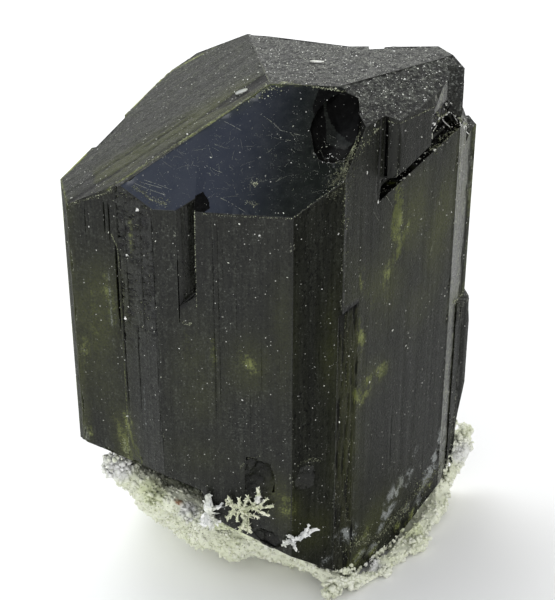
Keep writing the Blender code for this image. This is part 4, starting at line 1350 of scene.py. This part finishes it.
# %% Sprays
# Stems: start, end and thickness.
SPRAYS = {
    "white_spray_left": (
        ((-7.6, 0.6, 10.5), (-7.4, 0.5, 12.6), 0.62), ((-7.7, 0.5, 10.9), (-7.9, 0.4, 10.2), 0.6),
        ((-7.2, 0.6, 11.7), (-6.5, 0.5, 11.9), 0.42), ((-7.2, 0.6, 10.5), (-6.9, 0.5, 10.3), 0.45),
        ((-7.3, 0.5, 10.1), (-7.2, 0.4, 9.8), 0.4), ((-7.4, 0.5, 12.8), (-7.4, 0.4, 13.1), 0.34),
    ),
    "cream_spray": (
        ((-4.6, 0.3, 11.7), (-3.4, 0.2, 12.2), 0.42), ((-4.4, 0.2, 11.9), (-3.9, 0.1, 11.2), 0.36),
        ((-4.3, 0.3, 11.8), (-5.8, 0.3, 12.5), 0.24), ((-5.2, 0.3, 12.1), (-5.6, 0.1, 13.1), 0.2),
        ((-4.5, 0.3, 11.8), (-5.8, 0.2, 11.0), 0.24), ((-4.2, 0.3, 11.9), (-4.1, 0.2, 10.3), 0.34),
        ((-4.1, 0.3, 10.5), (-4.6, 0.2, 9.6), 0.24), ((-4.1, 0.3, 10.5), (-3.8, 0.2, 9.5), 0.22),
        ((-4.6, 0.2, 9.8), (-4.0, 0.1, 9.7), 0.2), ((-4.0, 0.2, 12.0), (-3.0, 0.1, 12.3), 0.3),
        ((-3.3, 0.1, 12.1), (-1.8, -0.1, 12.4), 0.17), ((-3.1, 0.1, 11.9), (-2.2, -0.1, 11.5), 0.22),
        ((-3.5, 0.1, 12.2), (-2.9, -0.1, 13.4), 0.2), ((-2.9, 0.0, 13.0), (-3.0, -0.1, 14.2), 0.26),
        ((-4.3, 0.2, 12.1), (-3.9, -0.1, 13.4), 0.18), ((-4.7, 0.2, 12.3), (-4.6, -0.1, 13.2), 0.18),
        ((-5.0, 0.2, 12.3), (-5.4, 0.0, 11.6), 0.18), ((-4.0, 0.2, 11.4), (-3.1, 0.0, 11.2), 0.18),
        ((-4.8, 0.2, 11.4), (-4.9, 0.0, 10.8), 0.16), ((-2.9, 0.0, 12.4), (-2.2, -0.1, 13.2), 0.14),
    ),
    "white_spray_right": (
        ((0.4, 0.0, 8.7), (-0.6, -0.2, 8.3), 0.34), ((0.2, -0.1, 8.6), (0.4, -0.2, 7.7), 0.26),
        ((0.3, 0.0, 8.6), (1.2, 0.2, 9.0), 0.34), ((1.1, 0.2, 9.0), (2.1, 0.7, 9.3), 0.34),
        ((1.3, 0.2, 9.3), (1.6, 0.2, 10.1), 0.18), ((0.1, -0.1, 8.9), (-0.2, -0.2, 9.2), 0.22),
    ),
}
spray_rng = random.Random(21)


def spray_places(stems, side_ones):
    """Each stem is a few blunt crystals end to end, with smaller ones standing off it."""
    found = []
    for start, end, thick in stems:
        start, end = Vector(start), Vector(end)
        stem = (end - start).normalized()
        steps = max(2, round((end - start).length / (1.1 * thick)))
        for step in range(steps + 1):
            point = start.lerp(end, step / steps) + 0.15 * thick * random_direction(spray_rng)
            aim = (stem + 0.3 * random_direction(spray_rng)).normalized()
            wide = thick * spray_rng.uniform(0.55, 0.9)
            sizes = (wide, wide * spray_rng.uniform(0.3, 0.9), thick * spray_rng.uniform(0.7, 1.0))
            found.append((point, aim, sizes, spray_rng.uniform(0.2, 1.0)))
            for _ in range(side_ones):
                off = random_direction(spray_rng)
                aim = (off + 0.4 * stem).normalized()
                wide = thick * spray_rng.uniform(0.2, 0.45)
                sizes = (wide, wide * 0.5, thick * spray_rng.uniform(0.4, 0.9))
                found.append((point + 0.7 * thick * aim, aim, sizes, spray_rng.random()))
    return found


spray_meshes = {}
for name, stems in SPRAYS.items():
    if name == "cream_spray":
        spray_meshes[name] = swarm(COLUMNS + FLAKES, spray_places(stems, 4), spray_rng)
    else:
        spray_meshes[name] = swarm(GRAINS, spray_places(stems, 2), spray_rng)

# %% [markdown]
# ## Finishes of the pale crystals
#
# Small clear crystals look white because light scatters between them. Here that is a pale colour with
# a fair gloss, its tone different on each crystal. Colour zones come from values kept on the points.

# %% Pale crystals
# Where the pale crystals are tinted: centre and reach.
ZONES = {
    "lilac": (
        ((-16.0, 5.0, 13.2), 1.7), ((-9.6, 3.7, 8.9), 1.2), ((17.6, 19.6, 5.2), 1.7),
        ((8.0, 6.0, 1.0), 1.0), ((-2.9, 0.0, 13.2), 0.6),
    ),
    "green": (
        ((-13.0, 5.0, 10.4), 1.6), ((-6.0, 3.0, 7.0), 2.2), ((2.5, 2.0, 2.2), 0.9),
        ((19.0, 21.0, 7.3), 0.9), ((12.0, 11.0, 1.8), 1.8), ((-10.6, 3.0, 8.6), 1.2),
    ),
    "rust": (
        ((-10.4, 4.0, 9.9), 0.5),
    ),
}


def zone_values(points, name):
    found = np.zeros(len(points))
    for centre, reach in ZONES[name]:
        away = np.linalg.norm(points - np.array(centre), axis=1) / reach
        found = np.maximum(found, 1 - steep(away, 0.5, 1.2))
    return found


def pale_finish(name, bright, dull, deep, gloss):
    """bright and dull are the two ends of the tone, deep a darker colour mixed in in random patches."""
    material, tree, shader = new_material(name)
    shader.inputs["IOR"].default_value = 1.52
    even = object_place(tree, (1, 1, 1))
    broad = noise_of(tree, even, 500, 3.0, 0.6)
    base = mixed(tree, ramp(tree, value_on(tree, "tone"), 0.0, 0.25), tuple(0.3 * c for c in dull), dull)
    base = mixed(tree, ramp(tree, value_on(tree, "tone"), 0.15, 0.9), base, bright)
    base = mixed(tree, ramp(tree, broad, 0.45, 0.65, 0.0, 0.3), base, (0.60, 0.64, 0.40))
    base = mixed(tree, ramp(tree, value_on(tree, "green"), 0.0, 1.0, 0.0, 0.4), base, (0.60, 0.66, 0.32))
    base = mixed(tree, ramp(tree, value_on(tree, "lilac"), 0.0, 1.0, 0.0, 0.6), base, (0.80, 0.79, 0.85))
    base = mixed(tree, ramp(tree, value_on(tree, "rust"), 0.0, 1.0, 0.0, 0.95), base, (0.20, 0.075, 0.02))
    base = mixed(tree, ramp(tree, noise_of(tree, even, 2600, 2.0), 0.52, 0.72, 0.0, 0.5), base, deep)
    feed(tree, base, shader.inputs["Base Color"])
    feed(tree, ramp(tree, broad, 0.3, 0.7, gloss, gloss + 0.25), shader.inputs["Roughness"])
    height = noise_of(tree, even, 5200, 2.0)
    relief = add(tree, "Bump", {"Height": height, "Distance": 0.00004, "Strength": 0.7})
    feed(tree, relief.outputs["Normal"], shader.inputs["Normal"])
    return material


crust_finish = pale_finish("crust_crystals", (0.87, 0.88, 0.77), (0.76, 0.78, 0.64), (0.63, 0.66, 0.49), 0.25)
bed_finish = pale_finish("crust_bed", (0.82, 0.84, 0.70), (0.76, 0.78, 0.62), (0.58, 0.61, 0.45), 0.5)
cream_finish = pale_finish("cream_crystals", (0.85, 0.85, 0.70), (0.50, 0.53, 0.36), (0.30, 0.32, 0.20), 0.2)
white_finish = pale_finish("white_crystals", (0.88, 0.88, 0.86), (0.58, 0.59, 0.58), (0.40, 0.41, 0.38), 0.2)


def dressed(name, bm, material, node):
    """A pale piece in the frame, with its colour zones, in place of a node."""
    points = np.array([vert.co[:] for vert in bm.verts])
    piece = placed(name, bm, [material])
    if "tone" not in piece.data.attributes:
        keep_values(piece.data, "tone", np.full(len(points), 0.6))
    for zone in ZONES:
        keep_values(piece.data, zone, zone_values(points, zone))
    if node:
        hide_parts(node)
    return piece


dressed("crust_bed", crust_body, bed_finish, "matrix_crust").data.shade_smooth()
dressed("crust_crystals", crust_grains, crust_finish, None).data.shade_smooth()
for name, grown in spray_meshes.items():
    cream = name == "cream_spray"
    finish, slot = (cream_finish, "cream_crystal") if cream else (white_finish, "white_crystal")
    dressed(name + "_crystals", grown, finish, name)

# %% [markdown]
# ## Dust
#
# White specks lie all over the dark faces. They are flakes of mineral dust a few hundredths of a
# millimetre across, and a few are larger. They are laid on by area like the crust's crystals, thickest
# on the pebbled face and thin on the smooth one, and sunk so that they touch the face everywhere.

# %% Dust flakes
DUST = 1500
DIP_TOLERANCE = 0.012
dust_rng = random.Random(31)


def dips(normals, dip):
    return abs(normals[:, 2] - math.cos(math.radians(dip))) < DIP_TOLERANCE


def dusty(centres, normals):
    patchy = steep(random_field(centres / 2.6, 81), -0.5, 0.7) + 0.25
    upper = np.where(normals[:, 2] > 0.6, 1.0, 0.45)
    upper = np.where(dips(normals, PEBBLED_DIP), 3.0, upper)
    upper = np.where(dips(normals, BLUE_DIP), 0.45, upper)
    return patchy * upper * steep(normals[:, 2], -0.3, 0.0)


bm = drawing_of(CRYSTAL_MESH)
surface = BVHTree.FromBMesh(bm)
whole = mesh_of("whole", bm)
# Larger flakes: place and size. Those at the end of the slot are white dust that also paints the glints of
# the break.
BIG_FLAKES = (
    ((-12.8, 2.6, 40.3), 0.2), ((-14.3, 3.75, 29.6), 0.17), ((-13.9, 3.4, 35.6), 0.18),
    ((-17.0, 4.35, 37.9), 0.08), ((-14.6, 4.0, 25.2), 0.07), ((7.0, 5.6, 21.9), 0.1),
    ((5.0, 3.2, 26.0), 0.08), ((-9.2, 1.3, 17.0), 0.07), ((9.7, 8.6, 41.0), 0.16),
    ((10.0, 9.0, 41.3), 0.12), ((12.4, 12.0, 42.6), 0.13), ((7.2, 5.9, 39.5), 0.1),
    ((10.9, 8.5, 44.3), 0.1), ((9.3, 6.6, 45.6), 0.09), ((12.9, 12.7, 42.9), 0.17),
    ((12.4, 12.0, 43.8), 0.14), ((12.9, 12.0, 44.6), 0.12), ((13.4, 13.2, 43.6), 0.15),
    ((12.1, 11.2, 43.0), 0.1), ((13.8, 14.0, 43.6), 0.12), ((6.7, 5.2, 46.6), 0.12),
    ((13.5, 13.9, 45.2), 0.13), ((13.4, 13.9, 44.8), 0.1), ((14.1, 15.6, 44.7), 0.12),
    ((13.9, 15.5, 43.8), 0.13), ((13.5, 15.4, 43.4), 0.12), ((14.3, 15.8, 43.4), 0.13),
    ((15.1, 15.5, 42.7), 0.1), ((12.5, 14.0, 42.1), 0.12), ((11.6, 12.1, 41.4), 0.12),
    ((11.1, 11.4, 41.2), 0.12), ((9.3, 8.8, 40.5), 0.09),
)
# Slope of the face, count, smallest and largest size, lowest and highest tone.
EXTRA_DUST = ((PEBBLED_DIP, 800, 0.02, 0.062, 0.6, 1.0), (BLUE_DIP, 420, 0.008, 0.02, 0.0, 0.5))
dust_places = []
for point, outward in zip(*spread_over(whole, DUST, 32, dusty)):
    size = 0.02 + 0.05 * dust_rng.random() ** 4
    aim = (Vector(outward) + 0.35 * random_direction(dust_rng)).normalized()
    sizes = (size * dust_rng.uniform(0.7, 2.2), size * dust_rng.uniform(0.5, 1.1), size)
    sunk = Vector(point) - Vector(outward) * size * 0.1
    dust_places.append((sunk, aim, sizes, 0.3 + 0.7 * dust_rng.random()))
for slope, count, small, large, low_tone, high_tone in EXTRA_DUST:
    laid = spread_over(whole, count, 33, lambda centres, normals, slope=slope: dips(normals, slope))
    for point, outward in zip(*laid):
        size = small + (large - small) * dust_rng.random() ** 3
        aim = (Vector(outward) + 0.4 * random_direction(dust_rng)).normalized()
        sizes = (size * dust_rng.uniform(0.8, 1.5), size * dust_rng.uniform(0.6, 1.2), size)
        dust_places.append((Vector(point), aim, sizes, dust_rng.uniform(low_tone, high_tone)))
for point, size in BIG_FLAKES:
    touch = surface.find_nearest(Vector(point))[0]
    for _ in range(4):
        away = random_direction(dust_rng) * size * 0.6
        thick = size * dust_rng.uniform(0.4, 0.8)
        dust_places.append((touch + away, random_direction(dust_rng), (thick, thick * 0.7, thick), 0.9))

# %% [markdown]
# ## Crumbs along the broken edges
#
# Where two faces meet, the edge is crushed into crumbs of the crystal's own green powder, and along the
# foot of the blue face they make a pale dotted line. Each line here is a few points on the crystal. The
# crumbs scatter beside it and are set down on the nearest spot of the real surface.

# %% Crumbs
# Points, spread, count, smallest and largest size, lowest and highest tone.
CRUMB_LINES = (
    (((-0.9, 10.9, 48.3), (0.6, 10.3, 48.3), (4.5, 9.1, 48.3)), 0.16, 170, 0.02, 0.07, 0.1, 0.8),
    (((-3.4, 9.8, 47.6), (-1.9, 10.5, 48.3), (0.0, 10.8, 48.3)), 0.6, 260, 0.02, 0.08, 0.05, 0.9),
    (RIDGE_ENDS, 0.34, 620, 0.015, 0.065, 0.0, 0.75),
    (
        ((-7.2, 0.9, 40.6), (-4.3, 0.4, 40.6), (0.0, 0.0, 40.7), (4.3, 2.4, 43.2)),
        0.07, 170, 0.012, 0.036, 0.4, 1.0,
    ),
    (((-7.95, 1.08, 41.0), (-8.0, 1.1, 37.3), (-8.0, 1.15, 32.0)), 0.03, 170, 0.016, 0.036, 0.5, 1.0),
    (
        ((3.2, 1.7, 42.6), (4.3, 2.5, 43.9), (5.0, 3.4, 45.6), (6.2, 4.8, 46.6)),
        0.85, 1500, 0.012, 0.06, 0.0, 0.4,
    ),
    (((4.2, 2.5, 44.0), (5.9, 4.4, 46.6)), 0.4, 60, 0.012, 0.04, 0.3, 1.0),
    (((4.3, 2.4, 43.0), (4.3, 2.4, 36.0)), 0.5, 160, 0.015, 0.06, 0.0, 0.5),
    (((-18.8, 4.6, 39.9), (-16.5, 4.2, 40.8), (-15.0, 4.0, 41.5)), 0.2, 240, 0.015, 0.055, 0.0, 0.9),
    (
        ((-14.6, 4.0, 41.5), (-13.2, 3.4, 41.9), (-12.0, 2.4, 41.2), (-10.6, 1.8, 41.0)),
        0.7, 520, 0.012, 0.055, 0.0, 0.8,
    ),
    (((-13.4, 3.2, 40.8), (-12.7, 2.7, 37.0), (-13.0, 2.8, 29.5)), 1.3, 900, 0.01, 0.034, 0.0, 1.0),
    (
        ((-15.2, 4.15, 37.4), (-14.75, 4.0, 36.0), (-14.55, 3.9, 33.5), (-14.5, 3.9, 30.5)),
        0.05, 170, 0.02, 0.05, 0.05, 0.5,
    ),
    (((-9.6, 1.4, 30.7), (-9.1, 1.3, 30.3), (-8.6, 1.2, 30.3)), 0.2, 50, 0.015, 0.05, 0.2, 1.0),
    (((-4.6, 0.7, 15.9), (-3.9, 0.6, 17.0), (-2.8, 0.4, 17.4)), 0.1, 60, 0.012, 0.04, 0.0, 0.8),
    (((0.4, 0.3, 16.0), (1.4, 0.8, 16.3), (2.6, 1.4, 15.7)), 0.6, 110, 0.01, 0.04, 0.0, 0.7),
    (
        ((12.0, 10.4, 45.6), (13.3, 13.0, 44.9), (13.5, 13.9, 43.9), (15.0, 15.2, 43.0)),
        0.4, 330, 0.02, 0.1, 0.0, 0.9,
    ),
    (((12.6, 12.4, 42.0), (13.6, 13.6, 42.6), (14.6, 14.9, 43.3)), 0.5, 200, 0.015, 0.07, 0.0, 1.0),
    (((15.1, 15.3, 42.8), (15.4, 16.1, 36.0), (16.2, 18.0, 24.0)), 0.08, 100, 0.012, 0.04, 0.0, 0.8),
    (((15.6, 16.4, 24.4), (16.2, 17.6, 23.8), (17.0, 18.8, 23.9)), 0.35, 130, 0.02, 0.08, 0.0, 0.9),
    (((7.6, 6.0, 46.6), (8.9, 5.9, 46.5), (12.1, 10.0, 46.5)), 0.07, 110, 0.012, 0.04, 0.1, 0.9),
    (((6.5, 5.1, 46.3), (7.3, 5.9, 46.4)), 0.3, 50, 0.02, 0.08, 0.1, 0.9),
    (((-4.0, 0.7, 42.8), (-3.3, 0.3, 42.4), (-2.9, 0.3, 42.6)), 0.3, 60, 0.012, 0.04, 0.2, 1.0),
    (((-3.3, 2.8, 42.6), (-2.9, 2.8, 42.5)), 0.5, 90, 0.01, 0.04, 0.4, 1.0),
    (
        ((5.4, 3.7, 3.0), (9.0, 8.0, 1.6), (13.0, 12.7, 3.2), (16.0, 16.4, 4.6)),
        1.6, 1300, 0.02, 0.085, 0.0, 0.5,
    ),
    (((13.7, 13.8, 44.0), (14.9, 15.2, 43.3), (16.2, 17.9, 41.8)), 0.14, 150, 0.02, 0.065, 0.5, 1.0),
    (((4.6, 2.8, 30.0), (5.2, 3.5, 18.0), (5.2, 3.5, 6.0)), 0.9, 420, 0.012, 0.05, 0.0, 0.7),
)
crumb_rng = random.Random(41)


def along_path(path, share):
    """The point a given share of the way along a path."""
    ends = [Vector(point) for point in path]
    lengths = [(after - before).length for before, after in zip(ends, ends[1:])]
    rest = share * sum(lengths)
    for before, after, length in zip(ends, ends[1:], lengths):
        if rest <= length:
            return before.lerp(after, rest / length)
        rest -= length
    return ends[-1]


# Starting a little inside the crystal, a crumb lands on one of the two faces and not on the edge itself.
MIDDLE = Vector((-1.0, 12.0, 30.0))
crumb_places = []
for path, spread, count, small, large, low_tone, high_tone in CRUMB_LINES:
    for _ in range(count):
        point = along_path(path, crumb_rng.random())
        point += random_direction(crumb_rng) * spread * crumb_rng.gauss(0, 0.6)
        point += (MIDDLE - point).normalized() * 1.1 * spread
        touch = surface.find_nearest(point)[0]
        size = small + (large - small) * crumb_rng.random() ** 2.5
        sizes = [size * crumb_rng.uniform(0.6, 1.3) for _ in range(3)]
        tone = low_tone + (high_tone - low_tone) * crumb_rng.random() ** 1.8
        crumb_places.append((touch, random_direction(crumb_rng), sizes, tone))
print(len(crumb_places), "crumbs")

# %% [markdown]
# ## Scratches and two larger flakes
#
# The smooth blue face shows fine pale scratches: slivers of dust lying in them, so each is a chain of
# thin needles set on the face. Two flakes of a pale mineral lie on the roof.

# %% Scratches and flakes
# Both ends of each scratch.
SCRATCHES = (
    ((-12.9, 3.7, 42.1), (-10.4, 2.6, 41.6)), ((-12.1, 3.9, 42.3), (-9.8, 2.9, 41.9)),
    ((-12.5, 3.8, 42.2), (-10.7, 3.2, 41.9)), ((-7.2, 4.6, 43.4), (-5.8, 3.9, 43.0)),
    ((-2.5, 8.0, 46.4), (-1.0, 6.7, 45.6)), ((-1.0, 6.7, 45.6), (1.3, 6.0, 45.3)),
    ((-6.3, 2.2, 41.7), (-3.9, 0.8, 40.9)), ((-5.6, 7.8, 45.9), (-4.3, 7.0, 45.5)),
    ((8.0, 6.8, 39.6), (8.6, 7.6, 38.2)), ((12.6, 12.3, 31.4), (13.0, 12.8, 32.6)),
    ((6.8, 5.4, 38.9), (7.4, 6.1, 37.6)),
)
# Bright needles at the end of the slot: painted glints on the glassy break.
PAINTED_GLINTS = (
    ((13.4, 13.9, 45.3), (13.6, 14.4, 44.4)), ((14.0, 15.6, 43.8), (15.1, 15.5, 42.7)),
    ((14.3, 15.8, 43.4), (15.6, 16.4, 41.9)), ((14.9, 15.9, 42.9), (16.1, 17.8, 41.1)),
    ((12.5, 14.0, 42.1), (12.9, 14.7, 43.0)), ((14.5, 15.5, 42.6), (13.5, 15.4, 43.3)),
)
BLUE_MIDDLE = Vector((-3.0, 4.0, 43.6))
FINE_SCRATCHES = 190


def scratch_places(start, end, width, tone):
    steps = max(2, round((Vector(end) - Vector(start)).length / 0.35))
    bend = random_direction(crumb_rng) * 0.08
    spots = []
    for step in range(steps + 1):
        part = step / steps
        spot = Vector(start).lerp(Vector(end), part) + bend * math.sin(part * math.pi)
        spots.append(surface.find_nearest(spot)[0])
    found = []
    for before, after in zip(spots, spots[1:]):
        if (after - before).length > 0.02:
            sizes = (width, width, 0.7 * (after - before).length)
            found.append(((before + after) / 2, (after - before).normalized(), sizes, tone))
    return found


needles = []
for start, end in SCRATCHES:
    needles += scratch_places(start, end, 0.012, 0.16)
for start, end in PAINTED_GLINTS:
    needles += scratch_places(start, end, 0.045, 1.0)
for _ in range(FINE_SCRATCHES):
    start = BLUE_MIDDLE + Vector((crumb_rng.uniform(-8, 7), crumb_rng.uniform(-3.5, 4.5), 0))
    start = surface.find_nearest(start)[0]
    turn = crumb_rng.uniform(0, math.pi)
    reach = 0.2 + 1.3 * crumb_rng.random() ** 3
    end = start + reach * Vector((math.cos(turn), 0.8 * math.sin(turn), 0.6 * math.sin(turn)))
    needles += scratch_places(start, end, crumb_rng.uniform(0.003, 0.007), crumb_rng.uniform(0.03, 0.16))
print(len(needles), "needles in the scratches")

# Place, two half widths, and tone of each flake.
ROOF_FLAKES = (((-4.3, 11.6, 47.2), 0.6, 0.36, 0.25), ((2.25, 15.9, 48.3), 0.62, 0.15, 1.0))


def thin_flake(place, half_length, half_width):
    """A round flake with a raised rim, lying on the crystal."""
    flake = bmesh.new()
    bmesh.ops.create_circle(flake, cap_ends=True, segments=18, radius=1.0)
    for vert in flake.verts:
        vert.co *= crumb_rng.uniform(0.86, 1.06)
    bmesh.ops.inset_region(flake, faces=raised_lid(flake, 0.12), thickness=0.16, depth=-0.06)
    touch, outward, *_ = surface.find_nearest(Vector(place))
    flake.transform(Matrix.Diagonal((half_length, half_width, 1.0, 1.0)))
    across = outward.cross((1, 0, 0)).normalized()
    turn = Matrix((across.cross(outward), across, outward)).transposed()
    flake.transform(Matrix.Translation(touch) @ turn.to_4x4())
    bmesh.ops.recalc_face_normals(flake, faces=flake.faces)
    return flake


flakes = bmesh.new()
for place, half_length, half_width, tone in ROOF_FLAKES:
    made = thin_flake(place, half_length, half_width)
    mesh = mesh_of("flake", made)
    keep_values(mesh, "tone", np.full(len(mesh.vertices), tone))
    flakes.from_mesh(mesh)

dust_finish = pale_finish("dust_flakes", (0.9, 0.9, 0.87), (0.34, 0.35, 0.30), (0.30, 0.31, 0.26), 0.5)
crumb_finish = pale_finish("crumbs", (0.50, 0.52, 0.38), (0.085, 0.09, 0.045), (0.04, 0.045, 0.02), 0.5)
flake_finish = pale_finish("flake", (0.80, 0.80, 0.78), (0.30, 0.31, 0.29), (0.22, 0.22, 0.20), 0.4)
flecks = swarm(FLAKES + GRAINS[:2], dust_places + needles, dust_rng)
dressed("dust", flecks, dust_finish, None)
dressed("crumbs", swarm(GRAINS, crumb_places, crumb_rng), crumb_finish, None)
dressed("roof_flakes", flakes, flake_finish, None)

# %% [markdown]
# ## Floor, room and light
#
# A dark glossy crystal shows its surroundings more than itself. Low down everything around it is white,
# so the roof and the right edge shine. Straight above it is darker and a little blue, and that is what
# the smooth sloping face reflects.

# %% Floor and light
FLOOR_REACH = 1.5
bm = bmesh.new()
bmesh.ops.create_grid(bm, x_segments=1, y_segments=1, size=FLOOR_REACH)
floor = linked("floor", mesh_of("floor", bm))
floor.data.materials.append(plain("paper", (0.88, 0.88, 0.875), 0.9))
floor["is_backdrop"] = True

world = bpy.data.worlds.new("studio")
world.use_nodes = True
sky = world.node_tree
direction = add(sky, "TexCoord").outputs["Generated"]
height = add(sky, "SeparateXYZ", {"Vector": direction}).outputs["Z"]
colour = mixed(sky, ramp(sky, height, 0.80, 0.965), (1.0, 1.0, 0.99), (0.20, 0.21, 0.235))
feed(sky, colour, sky.nodes["Background"].inputs["Color"])
sky.nodes["Background"].inputs["Strength"].default_value = 1.1
bpy.context.scene.world = world
bpy.context.scene.view_settings.view_transform = "Standard"


def soft_light(name, place, aim, size, brightness, colour=(1, 1, 1)):
    """A square panel. Brightness is its radiance, so it compares directly with the room's."""
    data = bpy.data.lights.new(name, "AREA")
    data.shape = "RECTANGLE"
    data.size, data.size_y = size
    data.energy = brightness * math.pi * size[0] * size[1]
    data.color = colour
    light = linked(name, data)
    light.location = place
    light.rotation_euler = (Vector(aim) - Vector(place)).to_track_quat("-Z", "Y").to_euler()


soft_light("key", (-0.13, 0.18, 0.44), (0, 0.05, 0), (0.3, 0.3), 2.9)
soft_light("blue_panel", (-0.19, -0.02, 0.30), (-0.19, -0.02, 0), (0.27, 0.3), 1.2, (0.78, 0.88, 1.0))

# %% Sizes, and the end
low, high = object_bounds()
print("visual box in mm", [round(1000 * side, 1) for side in high - low])
